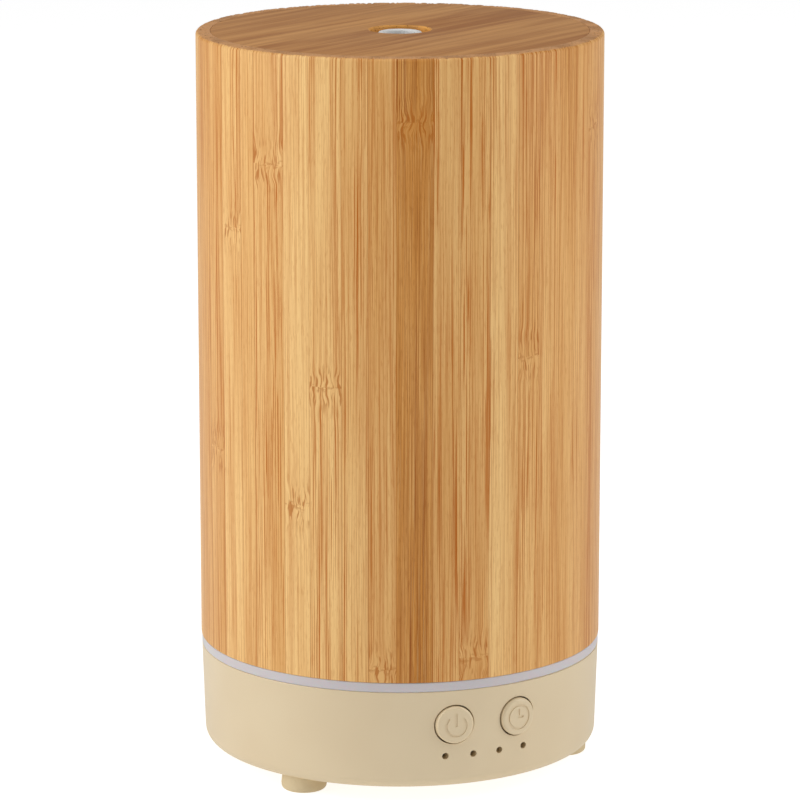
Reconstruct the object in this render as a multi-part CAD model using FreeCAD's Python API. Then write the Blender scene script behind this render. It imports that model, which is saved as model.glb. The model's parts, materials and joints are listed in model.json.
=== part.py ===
"""Ultrasonic essential oil diffuser: a bamboo cover that lifts off a cream plastic base with a water tank.

Units are millimetres. +Z is up, -Y is the front with the two buttons, and the origin is on the axis of the
cover, on the surface that the feet stand on. An azimuth is measured from the front, turning towards +X.
"""
import FreeCAD, Part
import math
import os

V = FreeCAD.Vector
UP = V(0, 0, 1)
BACKWARDS = V(0, 1, 0)

# ---- driving dimensions ---------------------------------------------------------------------------------
cover_diameter = 84.0
cover_height = 127.5
light_ring_height = 2.0
base_height = 20.7
foot_height = 3.5

# ---- levels up the axis ---------------------------------------------------------------------------------
base_bottom = foot_height
ring_bottom = base_bottom + base_height
ring_top = ring_bottom + light_ring_height
cover_top = ring_top + cover_height

# ---- bamboo cover ---------------------------------------------------------------------------------------
cover_radius = cover_diameter / 2
sleeve_wall = 3.0
sleeve_inner = cover_radius - sleeve_wall
cover_edge_round = 0.8
cover_foot_round = 0.3
glue_gap = 0.05
top_disc_thickness = 5.0
mist_hole_radius = 6.25
mist_hole_round = 0.4

# ---- white liner glued inside the cover -----------------------------------------------------------------
liner_outer = sleeve_inner - glue_gap
liner_wall = 1.5
liner_inner = liner_outer - liner_wall
liner_top = cover_top - top_disc_thickness - glue_gap
liner_lift = 1.0
nozzle_outer = 4.5
nozzle_inner = 3.3
nozzle_drop = 0.5
funnel_mouth_radius = 9.0
funnel_length = 26.0

# ---- base shell -----------------------------------------------------------------------------------------
base_top_radius = 41.85
base_low_radius = 41.2
base_corner_round = 2.4
base_wall = 2.05
base_floor = 2.0
base_rim_round = 0.25
floor_top = base_bottom + base_floor

# ---- water tank -----------------------------------------------------------------------------------------
tank_outer = 36.8
tank_wall = 2.0
tank_inner = tank_outer - tank_wall
tank_floor_top = 34.0
tank_floor_thickness = 2.0
tank_floor_under = tank_floor_top - tank_floor_thickness
tank_rim = 84.0
tank_corner_round = 3.0
water_line = 62.0
spigot_outer = 39.5
spigot_inner = 38.7
spigot_depth = 3.2

# ---- ultrasonic disc under the tank ---------------------------------------------------------------------
well_x, well_y = -13.0, 0.0
well_radius = 13.0
well_depth = 4.0
well_wall = 1.6
well_under = tank_floor_top - well_depth - tank_floor_thickness
disc_window_radius = 8.0
seal_radius = 12.0
seal_thickness = 3.0
disc_radius = 10.0
disc_plate_thickness = 0.5
ceramic_radius = 7.5
ceramic_thickness = 0.8
retainer_thickness = 2.0
retainer_ear_radius = 3.0
retainer_ear_reach = 15.5
retainer_azimuths = (-90, 30, 150)

# ---- fan and air duct -----------------------------------------------------------------------------------
fan_x, fan_y = 17.5, -2.0
fan_size = 30.0
fan_height = 10.0
fan_corner_round = 2.5
fan_bore = 13.6
fan_pad_height = 1.0
fan_bottom = floor_top + fan_pad_height
fan_top = fan_bottom + fan_height
fan_hole_reach = 12.0
fan_hub_radius = 6.0
blade_tip = 12.9
blade_count = 7
blade_pitch = 42.0
gasket_thickness = 1.5
hood_outer = 15.0
hood_inner = 14.0
hood_rim_height = 2.5
duct_x, duct_y = 22.3, -2.0
duct_outer = 7.5
duct_bore = 6.0
duct_top = 78.0
duct_shoulder = 8.9
duct_cap_radius = 9.0

# ---- controls on the front ------------------------------------------------------------------------------
button_spacing = 14.2
button_level = base_bottom + 13.5
button_radius = 3.9
button_hole_radius = 4.2
button_face_radius = 42.45
button_edge_round = 0.6
button_flange_radius = 4.9
button_flange_half_height = 4.5
button_flange_front = -37.4
button_flange_thickness = 0.8
stem_radius = 1.8
plunger_radius = 1.7
plunger_length = 0.8
icon_depth = 0.16
indicator_pitch = 5.9
indicator_hole_radius = 0.7
indicator_level = base_bottom + 6.85

# ---- boards ---------------------------------------------------------------------------------------------
button_board_front = -28.6
button_board_thickness = 1.2
button_board_half_width = 15.0
button_board_low, button_board_high = 6.5, 21.0
switch_size = 6.0
switch_depth = 3.5
main_board_under = 8.0
main_board_thickness = 1.6
main_board_top = main_board_under + main_board_thickness
light_board_outer, light_board_inner = 38.4, 33.5
light_board_under = 21.8
light_board_thickness = 1.0
light_board_top = light_board_under + light_board_thickness
led_count = 8
led_circle = 36.0
peg_azimuths = (45, 135, -135, -45)

# ---- power socket at the back ---------------------------------------------------------------------------
jack_width, jack_height = 9.0, 11.0
jack_front, jack_back = 38.6, 25.0
jack_bore_radius = 3.1
jack_bore_depth = 10.0
jack_level = main_board_top + 6.5
jack_pin_radius = 1.0
jack_pin_length = 9.2

# ---- feet and fasteners ---------------------------------------------------------------------------------
foot_circle = 34.8
foot_radius = 4.7
foot_neck = 4.45
foot_round = 0.9
foot_stem_radius = 3.0
foot_stem_length = 1.1
foot_azimuths = {"foot_left": -60, "foot_right": 60, "foot_rear": 180}
screw_boss_radius = 4.2
screw_boss_height = 1.7
post_radius = 3.5
post_pilot = 1.25
front_post = V(0, -22.0, 0)
rear_post_reach = 29.5
rear_post_azimuth = 130
post_webs = ((0, 22.0), (130, 29.5), (-130, 29.5))
web_half = 1.0
fit_gap = 0.05


# ---- small tools ----------------------------------------------------------------------------------------
def polar(reach, azimuth, z=0.0):
    """The point at a distance from the axis and an azimuth from the front."""
    a = math.radians(azimuth)
    return V(reach * math.sin(a), -reach * math.cos(a), z)


def rod(radius, z0, z1, x=0.0, y=0.0):
    """An upright cylinder between two levels."""
    return Part.makeCylinder(radius, z1 - z0, V(x, y, z0))


def pipe(outer, inner, z0, z1, x=0.0, y=0.0):
    """An upright tube between two levels."""
    return rod(outer, z0, z1, x, y).cut(rod(inner, z0 - 1, z1 + 1, x, y))


def rod_along_y(radius, y0, y1, x, z):
    """A cylinder that runs backwards, along +Y."""
    return Part.makeCylinder(radius, y1 - y0, V(x, y0, z), BACKWARDS)


def block(x0, x1, y0, y1, z0, z1):
    """A box between two corners."""
    return Part.makeBox(x1 - x0, y1 - y0, z1 - z0, V(x0, y0, z0))


def turned(points, rounds=None):
    """A solid of revolution about Z from a closed outline of (radius, level) points.

    rounds gives a corner's rounding radius by the corner's index.
    """
    rounds = rounds or {}
    corners = [V(r, 0, z) for r, z in points]
    count = len(corners)
    starts, ends, arcs = [], [], []
    for i, corner in enumerate(corners):
        radius = rounds.get(i, 0)
        back = (corners[i - 1] - corner).normalize()
        ahead = (corners[(i + 1) % count] - corner).normalize()
        if not radius:
            starts.append(corner)
            ends.append(corner)
            arcs.append(None)
            continue
        half = back.getAngle(ahead) / 2
        run = radius / math.tan(half)
        middle = (back + ahead).normalize()
        centre = corner + middle * (radius / math.sin(half))
        starts.append(corner + back * run)
        ends.append(corner + ahead * run)
        arcs.append(Part.Arc(starts[-1], centre - middle * radius, ends[-1]))
    edges = []
    for i in range(count):
        if arcs[i]:
            edges.append(arcs[i].toShape())
        following = (i + 1) % count
        if (starts[following] - ends[i]).Length > 1e-6:
            edges.append(Part.LineSegment(ends[i], starts[following]).toShape())
    face = Part.Face(Part.Wire(edges))
    return face.revolve(V(0, 0, 0), UP, 360)


def moved(shape, x=0.0, y=0.0, z=0.0):
    """A copy of a shape, shifted."""
    copy = shape.copy()
    copy.translate(V(x, y, z))
    return copy


def spun(shape, azimuth, x=0.0, y=0.0):
    """A copy of a shape, turned about an upright line."""
    copy = shape.copy()
    copy.rotate(V(x, y, 0), UP, azimuth)
    return copy


def fused(shapes):
    """One solid from several that touch or overlap."""
    first, *rest = shapes
    return first.fuse(rest).removeSplitter()


def cut_all(shape, tools):
    """A shape with every tool taken away from it."""
    return shape.cut(list(tools))


def wire_run(points, radius):
    """A round lead along straight runs joined by arcs as large as the runs allow."""
    points = [V(*p) for p in points]
    edges, here = [], points[0]
    for i in range(1, len(points) - 1):
        back = (points[i - 1] - points[i])
        ahead = (points[i + 1] - points[i])
        shorter = min(back.Length, ahead.Length)
        back.normalize()
        ahead.normalize()
        half_turn = (math.pi - back.getAngle(ahead)) / 2
        run = 0.45 * shorter
        bend = run / math.tan(half_turn)
        middle = (back + ahead).normalize()
        centre = points[i] + middle * (bend / math.cos(half_turn))
        start, end = points[i] + back * run, points[i] + ahead * run
        edges.append(Part.LineSegment(here, start).toShape())
        edges.append(Part.Arc(start, centre - middle * bend, end).toShape())
        here = end
    edges.append(Part.LineSegment(here, points[-1]).toShape())
    path = Part.Wire(edges)
    section = Part.Wire([Part.makeCircle(radius, points[0], points[1] - points[0])])
    return path.makePipeShell([section], True, True)


def screw(x, y, head_z, shaft_z, head_radius, head_height, shaft_radius, head_up):
    """A pan-head screw on an upright line, with a cross in its head.

    head_z is the level of the head's bearing face and shaft_z the level of the shaft's tip.
    """
    way = 1 if head_up else -1
    outer_z = head_z + way * head_height
    low, high = sorted((head_z, outer_z))
    head = rod(head_radius, low, high, x, y)
    rim = [e for e in head.Edges if e.Length > 1 and abs(e.CenterOfMass.z - outer_z) < 1e-6]
    head = head.makeFillet(head_height * 0.35, rim)
    slot_low, slot_high = sorted((outer_z - way * head_height * 0.55, outer_z + way))
    reach, half = head_radius * 0.62, head_radius * 0.14
    cross = fused([block(x - reach, x + reach, y - half, y + half, slot_low, slot_high),
                   block(x - half, x + half, y - reach, y + reach, slot_low, slot_high)])
    low, high = sorted((head_z, shaft_z))
    shaft = rod(shaft_radius, low, high, x, y)
    tip = [e for e in shaft.Edges if e.Length > 1 and abs(e.CenterOfMass.z - shaft_z) < 1e-6]
    shaft = shaft.makeChamfer(shaft_radius * 0.45, tip)
    return fused([head.cut(cross), shaft])


def base_inner_radius(z):
    """The inside radius of the base shell's wall at a level."""
    share = (z - base_bottom) / base_height
    return base_low_radius + (base_top_radius - base_low_radius) * share - base_wall


# ---- cover ----------------------------------------------------------------------------------------------
def bamboo_sleeve():
    """The tube of upright bamboo staves."""
    outline = [(sleeve_inner, ring_top), (cover_radius, ring_top),
               (cover_radius, cover_top), (sleeve_inner, cover_top)]
    return turned(outline, {1: cover_foot_round, 2: cover_edge_round})


def bamboo_top_disc():
    """The bamboo board let into the top of the sleeve, with the mist hole."""
    radius, low = sleeve_inner - glue_gap, cover_top - top_disc_thickness
    outline = [(mist_hole_radius, low), (radius, low), (radius, cover_top), (mist_hole_radius, cover_top)]
    return turned(outline, {3: mist_hole_round})


def cover_liner():
    """The white lining of the cover, with the funnel that gathers the mist and the nozzle that lets it out."""
    plate_under = liner_top - liner_wall
    funnel_low = plate_under - funnel_length
    nozzle_top = cover_top - nozzle_drop
    outline = [(liner_outer, ring_top + liner_lift), (liner_outer, liner_top), (nozzle_outer, liner_top),
               (nozzle_outer, nozzle_top), (nozzle_inner, nozzle_top), (nozzle_inner, plate_under),
               (funnel_mouth_radius, funnel_low), (funnel_mouth_radius + 1.2, funnel_low),
               (nozzle_outer + 0.4, plate_under), (liner_inner, plate_under),
               (liner_inner, ring_top + liner_lift)]
    return turned(outline, {1: 1.0, 3: 0.4, 4: 0.4, 5: 2.0, 6: 0.4, 7: 0.4, 8: 1.0, 9: 1.5, 10: 0.4})


# ---- base shell and feet --------------------------------------------------------------------------------
def grille_slots():
    """The air slots in the floor under the fan."""
    pitch, half_width, reach = 3.4, 0.9, 12.6
    slots = []
    for i in range(-3, 4):
        y = fan_y + i * pitch
        half = math.sqrt(reach ** 2 - (i * pitch) ** 2) - half_width
        low, high = base_bottom - 1, floor_top + 1
        slots.append(fused([block(fan_x - half, fan_x + half, y - half_width, y + half_width, low, high),
                            rod(half_width, low, high, fan_x - half, y),
                            rod(half_width, low, high, fan_x + half, y)]))
    return slots


def fan_corners():
    """The places of the fan's four corner holes."""
    return [(fan_x + sx * fan_hole_reach, fan_y + sy * fan_hole_reach) for sx in (-1, 1) for sy in (-1, 1)]


def main_board_posts():
    """The places of the posts that the main board is screwed to."""
    return [(-31.0, -14.0), (-9.0, 31.0), (-7.0, -13.0)]


def tank_posts():
    """The places of the three screws that hold the base shell to the tank."""
    rear = [polar(rear_post_reach, side * rear_post_azimuth) for side in (-1, 1)]
    return [(front_post.x, front_post.y)] + [(p.x, p.y) for p in rear]


def base_shell():
    """The cream cup with the floor, the button and indicator holes and the socket opening."""
    outline = [(0, base_bottom), (base_low_radius, base_bottom), (base_top_radius, ring_bottom),
               (base_inner_radius(ring_bottom), ring_bottom), (base_inner_radius(floor_top), floor_top),
               (0, floor_top)]
    shell = turned(outline, {1: base_corner_round, 2: base_rim_round, 4: 1.2})
    added = [rod(screw_boss_radius, floor_top - 0.5, floor_top + screw_boss_height, x, y)
             for x, y in tank_posts()]
    added += [rod(2.4, floor_top - 0.5, fan_bottom, x, y) for x, y in fan_corners()]
    added += [rod(2.6, floor_top - 0.5, main_board_under, x, y) for x, y in main_board_posts()]
    for side in (-1, 1):
        inner, outer = sorted((side * 13.6, side * 16.8))
        added.append(block(inner, outer, -30.4, -25.6, floor_top - 0.5, 18.0))
    shell = fused([shell] + added)
    taken = grille_slots()
    for x, y in tank_posts():
        taken.append(rod(2.7, base_bottom - 1, floor_top + 0.1, x, y))
        taken.append(rod(1.5, base_bottom, floor_top + screw_boss_height + 1, x, y))
    taken += [rod(0.95, base_bottom + 0.8, fan_bottom + 1, x, y) for x, y in fan_corners()]
    taken += [rod(1.0, base_bottom + 0.8, main_board_under + 1, x, y) for x, y in main_board_posts()]
    for azimuth in foot_azimuths.values():
        p = polar(foot_circle, azimuth)
        stem_top = base_bottom + foot_stem_length
        taken.append(rod(foot_stem_radius + fit_gap, base_bottom - 1, stem_top + fit_gap, p.x, p.y))
    slot_gap = 0.1
    taken.append(block(-button_board_half_width - slot_gap, button_board_half_width + slot_gap,
                       button_board_front - slot_gap,
                       button_board_front + button_board_thickness + slot_gap,
                       button_board_low, 19.0))
    for side in (-1, 1):
        x = side * button_spacing / 2
        taken.append(rod_along_y(button_hole_radius, -44, -36, x, button_level))
    for i in range(4):
        x = (i - 1.5) * indicator_pitch
        taken.append(rod_along_y(indicator_hole_radius, -44, -36, x, indicator_level))
    taken.append(rod_along_y(3.3, 37, 44, 0, jack_level))
    taken.append(rod_along_y(5.3, 40.6, 44, 0, jack_level))
    return cut_all(shell, taken)


def foot(azimuth):
    """A rubber foot: a flared pad, and a short stem that is glued into the floor."""
    stem_top = base_bottom + foot_stem_length
    outline = [(0, 0), (foot_radius - 0.1, 0), (foot_radius, 1.3), (foot_neck, base_bottom),
               (foot_stem_radius, base_bottom), (foot_stem_radius, stem_top), (0, stem_top)]
    p = polar(foot_circle, azimuth)
    return moved(turned(outline, {1: foot_round, 2: 0.8}), p.x, p.y)


def base_screws():
    """The three screws that hold the base shell to the tank's posts."""
    return Part.makeCompound([screw(x, y, floor_top + 0.1, 17.0, 2.5, 1.5, 1.2, False)
                              for x, y in tank_posts()])


# ---- water tank -----------------------------------------------------------------------------------------
def retainer_ears():
    """The places of the three screws that hold the ultrasonic disc's retainer."""
    places = [polar(retainer_ear_reach, azimuth) for azimuth in retainer_azimuths]
    return [(well_x + p.x, well_y + p.y) for p in places]


def water_tank():
    """The translucent cup that holds the water, with the disc's well in its floor."""
    outline = [(0, tank_floor_under), (tank_outer, tank_floor_under), (tank_outer, tank_rim),
               (tank_inner, tank_rim), (tank_inner, tank_floor_top), (0, tank_floor_top)]
    tank = turned(outline, {2: 0.7, 3: 0.7, 4: tank_corner_round})
    line_height, line_depth = 0.5, 0.35
    added = [pipe(tank_inner + 0.3, tank_inner - line_depth, water_line - line_height / 2,
                  water_line + line_height / 2),
             rod(well_radius + well_wall, well_under, tank_floor_under + 0.5, well_x, well_y),
             pipe(hood_inner - fit_gap, hood_inner - 1.2, tank_floor_under - hood_rim_height,
                  tank_floor_under + 0.5, fan_x, fan_y)]
    seal_under = well_under - seal_thickness
    added += [rod(2.4, seal_under, tank_floor_under + 0.5, x, y) for x, y in retainer_ears()]
    tank = fused([tank] + added)
    taken = [rod(well_radius, tank_floor_top - well_depth, tank_floor_top + 1, well_x, well_y),
             rod(disc_window_radius, well_under - 1, tank_floor_top, well_x, well_y),
             rod(duct_outer + fit_gap, tank_floor_under, tank_floor_top + 1, duct_x, duct_y)]
    taken += [rod(1.15, seal_under - 1, well_under + 1.8, x, y) for x, y in retainer_ears()]
    return cut_all(tank, taken)


def light_ring():
    """The frosted ring that shows between cover and base, the tank's skirt, and the posts that hold both."""
    skirt_top = tank_floor_under - fit_gap
    outline = [(tank_inner, ring_bottom), (spigot_inner, ring_bottom),
               (spigot_inner, ring_bottom - spigot_depth), (spigot_outer, ring_bottom - spigot_depth),
               (spigot_outer, ring_bottom), (base_top_radius, ring_bottom), (base_top_radius, ring_top),
               (tank_outer, ring_top), (tank_outer, skirt_top), (tank_inner, skirt_top)]
    ring = turned(outline, {5: 0.2, 6: 0.2, 7: 0.5})
    front_notch = block(-16, 16, -41, -30, ring_bottom - spigot_depth - 1, ring_bottom)
    ring = ring.cut(front_notch)
    post_foot = floor_top + screw_boss_height
    added = [rod(post_radius, post_foot, skirt_top, x, y) for x, y in tank_posts()]
    for azimuth, reach in post_webs:
        web = block(-web_half, web_half, -tank_inner - 0.5, -reach, ring_bottom + 0.6, skirt_top)
        added.append(spun(web, azimuth))
    shoulder, peg, stake_head = 1.6, 0.9, 1.5
    for azimuth in peg_azimuths:
        p = polar(led_circle, azimuth)
        added.append(rod(shoulder, light_board_top, ring_bottom + 0.5, p.x, p.y))
        added.append(rod(peg, light_board_under - 0.6, ring_bottom, p.x, p.y))
        added.append(rod(stake_head, light_board_under - 0.7, light_board_under, p.x, p.y))
    holes = [rod(post_pilot, post_foot - 1, 19.0, x, y) for x, y in tank_posts()]
    return cut_all(fused([ring] + added), holes)


def air_duct():
    """The tube that leads the fan's air up through the tank's floor to above the water."""
    outline = [(duct_bore, tank_floor_under), (duct_outer, tank_floor_under), (duct_outer, tank_floor_top),
               (duct_shoulder, tank_floor_top), (duct_shoulder, tank_floor_top + 1.4),
               (duct_outer, tank_floor_top + 1.4), (duct_outer, duct_top), (duct_bore, duct_top)]
    return moved(turned(outline, {4: 0.5, 5: 0.6, 6: 0.6, 7: 0.4}), duct_x, duct_y)


def fan_hood():
    """The round hood between the fan and the underside of the tank."""
    return pipe(hood_outer, hood_inner, fan_top + gasket_thickness, tank_floor_under, fan_x, fan_y)


def duct_cap():
    """The lid on the air duct that keeps water out and lets the fan's air out sideways."""
    gap = 3.6
    under = duct_top + gap
    dome = turned([(0, under), (duct_cap_radius, under), (duct_cap_radius, under + 1.2), (0, under + 3.0)],
                  {1: 0.4, 2: 0.5})
    fin_reach, fin_half = duct_bore - fit_gap, 0.6
    fins = [spun(block(0, fin_reach, -fin_half, fin_half, duct_top - 7, under + 0.5), 60 + 120 * i)
            for i in range(3)]
    return moved(fused([dome] + fins), duct_x, duct_y)


# ---- ultrasonic disc ------------------------------------------------------------------------------------
def disc_levels():
    """The underside of the steel plate, of the ceramic and of the seal."""
    seal_under = well_under - seal_thickness
    plate_under = seal_under + 1.2
    return plate_under, plate_under - ceramic_thickness, seal_under


def transducer_plate():
    """The steel disc that touches the water."""
    plate_under, _, _ = disc_levels()
    return rod(disc_radius, plate_under, plate_under + disc_plate_thickness, well_x, well_y)


def piezo_ceramic():
    """The ceramic bonded below the steel disc, with its two silvered contacts."""
    plate_under, ceramic_under, _ = disc_levels()
    return rod(ceramic_radius, ceramic_under, plate_under, well_x, well_y)


def disc_seal():
    """The silicone ring that grips the disc's edge and seals it to the tank."""
    plate_under, _, seal_under = disc_levels()
    plate_top = plate_under + disc_plate_thickness
    outline = [(8.6, seal_under), (seal_radius, seal_under), (seal_radius, well_under), (8.2, well_under),
               (8.2, plate_top), (disc_radius, plate_top), (disc_radius, plate_under), (8.6, plate_under)]
    return moved(turned(outline), well_x, well_y)


def disc_retainer():
    """The ring that presses the seal against the tank, with three ears for its screws."""
    _, _, seal_under = disc_levels()
    low = seal_under - retainer_thickness
    ring = rod(13.0, low, seal_under, well_x, well_y)
    ears = [rod(retainer_ear_radius, low, seal_under, x, y) for x, y in retainer_ears()]
    holes = [rod(1.3, low - 1, seal_under + 1, x, y) for x, y in retainer_ears()]
    return cut_all(fused([ring] + ears), holes + [rod(8.6, low - 1, seal_under + 1, well_x, well_y)])


def retainer_screws():
    """The three screws of the disc's retainer."""
    _, _, seal_under = disc_levels()
    head = seal_under - retainer_thickness
    return Part.makeCompound([screw(x, y, head, well_under + 1.0, 2.0, 1.3, 1.1, False)
                              for x, y in retainer_ears()])


# ---- fan ------------------------------------------------------------------------------------------------
def fan_frame():
    """The square frame of the fan, with the motor plate, its three struts and the bearing tube."""
    half = fan_size / 2
    body = block(-half, half, -half, half, fan_bottom, fan_top)
    upright = [e for e in body.Edges if abs(e.tangentAt(e.FirstParameter).z) > 0.9]
    body = body.makeFillet(fan_corner_round, upright)
    body = body.cut(rod(fan_bore, fan_bottom - 1, fan_top + 1))
    plate_top = fan_bottom + 1.2
    struts = [spun(block(0, fan_bore + 0.5, -0.7, 0.7, fan_bottom, plate_top), 30 + 120 * i) for i in range(3)]
    motor_plate = rod(fan_hub_radius, fan_bottom, plate_top)
    bearing = rod(1.6, fan_bottom, fan_top - 4.0)
    body = fused([body, motor_plate, bearing] + struts)
    holes = [rod(1.6, fan_bottom - 1, fan_top + 1, sx * fan_hole_reach, sy * fan_hole_reach)
             for sx in (-1, 1) for sy in (-1, 1)]
    holes.append(rod(0.8, fan_bottom + 0.6, fan_top))
    return moved(cut_all(body, holes), fan_x, fan_y)


def fan_impeller():
    """The hub and its seven pitched blades."""
    low, high = fan_bottom + 1.8, fan_top - 0.5
    hub = turned([(0, high), (fan_hub_radius, high), (fan_hub_radius, low), (fan_hub_radius - 0.8, low),
                  (fan_hub_radius - 0.8, high - 1.0), (0, high - 1.0)], {1: 0.8})
    keep = pipe(blade_tip, fan_hub_radius - 0.3, low + 0.2, high - 0.2)
    middle = (low + high) / 2
    blades = []
    for i in range(blade_count):
        blade = block(fan_hub_radius - 1.0, blade_tip + 1, -0.45, 0.45, middle - 8, middle + 8)
        blade.rotate(V(0, 0, middle), V(1, 0, 0), blade_pitch)
        blades.append(spun(blade.common(keep), i * 360 / blade_count))
    bore = rod(0.75, low, high - 0.4)
    return moved(fused([hub] + blades).cut(bore), fan_x, fan_y)


def fan_magnet():
    """The ring magnet inside the hub."""
    low, high = fan_bottom + 2.2, fan_top - 1.6
    return pipe(fan_hub_radius - 0.8, fan_hub_radius - 1.7, low, high, fan_x, fan_y)


def fan_shaft():
    """The steel shaft that turns in the bearing tube."""
    return rod(0.75, fan_bottom + 0.8, fan_top - 0.9, fan_x, fan_y)


def fan_stator():
    """The four-pole coil core around the bearing tube."""
    low, high = fan_bottom + 2.4, fan_bottom + 5.8
    core = pipe(3.9, 1.6, low, high)
    slots = [spun(block(2.4, 5, -0.35, 0.35, low - 1, high + 1), 45 + 90 * i) for i in range(4)]
    return moved(cut_all(core, slots), fan_x, fan_y)


def fan_screws():
    """The two long screws through opposite corners of the fan."""
    corners = [(fan_x + s * fan_hole_reach, fan_y - s * fan_hole_reach) for s in (-1, 1)]
    return Part.makeCompound([screw(x, y, fan_top, base_bottom + 1.2, 1.8, 1.0, 0.9, True)
                              for x, y in corners])


def fan_gasket():
    """The foam ring between the fan and the tank's air duct."""
    return pipe(hood_outer - 0.1, hood_inner, fan_top, fan_top + gasket_thickness, fan_x, fan_y)


# ---- buttons and their board ----------------------------------------------------------------------------
def button_icon(kind, x):
    """The grooves of a button's symbol, as solids that run along Y through its face."""
    y0, y1 = -43.5, -41.0
    z = button_level
    if kind == "power":
        reach, half_width, gap_angle, drop = 2.1, 0.26, 47.0, 0.15
        outer = rod_along_y(reach + half_width, y0, y1, x, z - drop)
        ring = outer.cut(rod_along_y(reach - half_width, y0 - 1, y1 + 1, x, z - drop))
        opening = [V(x, y0 - 1, z - drop)]
        for side in (-1, 1):
            a = math.radians(gap_angle) * side
            opening.append(V(x + 6 * math.sin(a), y0 - 1, z - drop + 6 * math.cos(a)))
        wedge = Part.Face(Part.makePolygon(opening + [opening[0]])).extrude(V(0, y1 - y0 + 2, 0))
        arc = [ring.cut(wedge)]
        for side in (-1, 1):
            a = math.radians(gap_angle) * side
            arc.append(rod_along_y(half_width, y0, y1, x + reach * math.sin(a),
                                   z - drop + reach * math.cos(a)))
        bar_low, bar_high = z - 0.1, z + 2.3
        bar = [block(x - half_width, x + half_width, y0, y1, bar_low, bar_high)]
        bar += [rod_along_y(half_width, y0, y1, x, level) for level in (bar_low, bar_high)]
        return [fused(arc), fused(bar)]
    reach, half_width = 2.45, 0.24
    outer = rod_along_y(reach + half_width, y0, y1, x, z)
    ring = outer.cut(rod_along_y(reach - half_width, y0 - 1, y1 + 1, x, z))
    minute_hand = block(x - half_width, x + half_width, y0, y1, z - half_width, z + 1.65)
    hour_hand = block(x - half_width, x + 1.15, y0, y1, z - half_width, z + half_width)
    return [ring, fused([minute_hand, hour_hand])]


def button(kind, x):
    """A button: a cap whose face follows the wall, a flange that keeps it in, and a stem."""
    face = Part.makeCylinder(button_face_radius, 60, V(0, 0, 0))
    flange_back = button_flange_front + button_flange_thickness
    cap = rod_along_y(button_radius, -44, button_flange_front + 0.2, x, button_level).common(face)
    rim = [e for e in cap.Edges if e.BoundBox.YMax < -39.5]
    cap = cap.makeFillet(button_edge_round, rim)
    skin = face.cut(Part.makeCylinder(button_face_radius - icon_depth, 60, V(0, 0, 0)))
    grooves = [g.common(skin) for g in button_icon(kind, x)]
    flange = rod_along_y(button_flange_radius, button_flange_front, flange_back, x, button_level)
    reach = button_flange_half_height
    flange = flange.common(block(x - 8, x + 8, -40, -30, button_level - reach, button_level + reach))
    stem_end = button_board_front - switch_depth - plunger_length
    stem = rod_along_y(stem_radius, flange_back - 0.2, stem_end, x, button_level)
    return cut_all(fused([cap, flange, stem]), grooves)


def plunger(x):
    """The plunger of a push switch, which travels with its button."""
    front = button_board_front - switch_depth - plunger_length
    return rod_along_y(plunger_radius, front, front + plunger_length, x, button_level)


def push_switch(x):
    """The housing of a push switch, with the pocket that its plunger sinks into."""
    half, back = switch_size / 2, button_board_front
    front = back - switch_depth
    housing = block(x - half, x + half, front, back, button_level - half, button_level + half)
    edges = [e for e in housing.Edges if abs(e.tangentAt(e.FirstParameter).y) > 0.9]
    housing = housing.makeFillet(0.5, edges)
    housing = housing.cut(rod_along_y(plunger_radius + 0.3, front - 1, front + 1.0, x, button_level))
    rivets = [rod_along_y(0.45, front - 0.2, front + 0.5, x + sx * 2.2, button_level + sz * 2.2)
              for sx in (-1, 1) for sz in (-1, 1)]
    return fused([housing] + rivets)


def button_board():
    """The upright board behind the buttons."""
    board = block(-button_board_half_width, button_board_half_width, button_board_front,
                  button_board_front + button_board_thickness, button_board_low, button_board_high)
    edges = [e for e in board.Edges if abs(e.tangentAt(e.FirstParameter).y) > 0.9]
    return board.makeFillet(0.8, edges)


def indicator_leds():
    """The four round indicator lamps behind the pinholes."""
    lamps = []
    for i in range(4):
        x = (i - 1.5) * indicator_pitch
        collar = rod_along_y(1.8, button_board_front - 0.9, button_board_front, x, indicator_level)
        barrel = rod_along_y(1.5, button_board_front - 3.2, button_board_front - 0.5, x, indicator_level)
        dome = Part.makeSphere(1.5, V(x, button_board_front - 3.2, indicator_level))
        lamps.append(fused([collar, barrel, dome]))
    return Part.makeCompound(lamps)


# ---- main board -----------------------------------------------------------------------------------------
def main_board():
    """The control board on the floor of the base, cut round the fan and the posts."""
    low, high = main_board_under, main_board_top
    board = rod(36.6, low, high)
    board = board.cut([block(1.6, 50, -50, 14.8, low - 1, high + 1), block(14, 50, -50, 50, low - 1, high + 1),
                       block(-50, 50, -50, -25.0, low - 1, high + 1)])
    holes = [rod(post_radius + 1.0, low - 1, high + 1, x, y) for x, y in tank_posts()]
    holes += [rod(1.3, low - 1, high + 1, x, y) for x, y in main_board_posts()]
    holes.append(rod(3.6, low - 1, high + 1, 0, foot_circle))
    return cut_all(board, holes)


def board_screws():
    """The screws of the main board."""
    return Part.makeCompound([screw(x, y, main_board_top, base_bottom + 1.2, 1.9, 1.1, 0.95, True)
                              for x, y in main_board_posts()])


def dc_jack():
    """The power socket's housing, with its round mouth at the back wall."""
    half, low = jack_width / 2, main_board_top
    housing = block(-half, half, jack_back, jack_front, low, low + jack_height)
    edges = [e for e in housing.Edges if abs(e.tangentAt(e.FirstParameter).y) > 0.9]
    housing = housing.makeFillet(0.6, edges)
    floor = jack_front - jack_bore_depth
    return housing.cut(rod_along_y(jack_bore_radius, floor, jack_front + 1, 0, jack_level))


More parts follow.
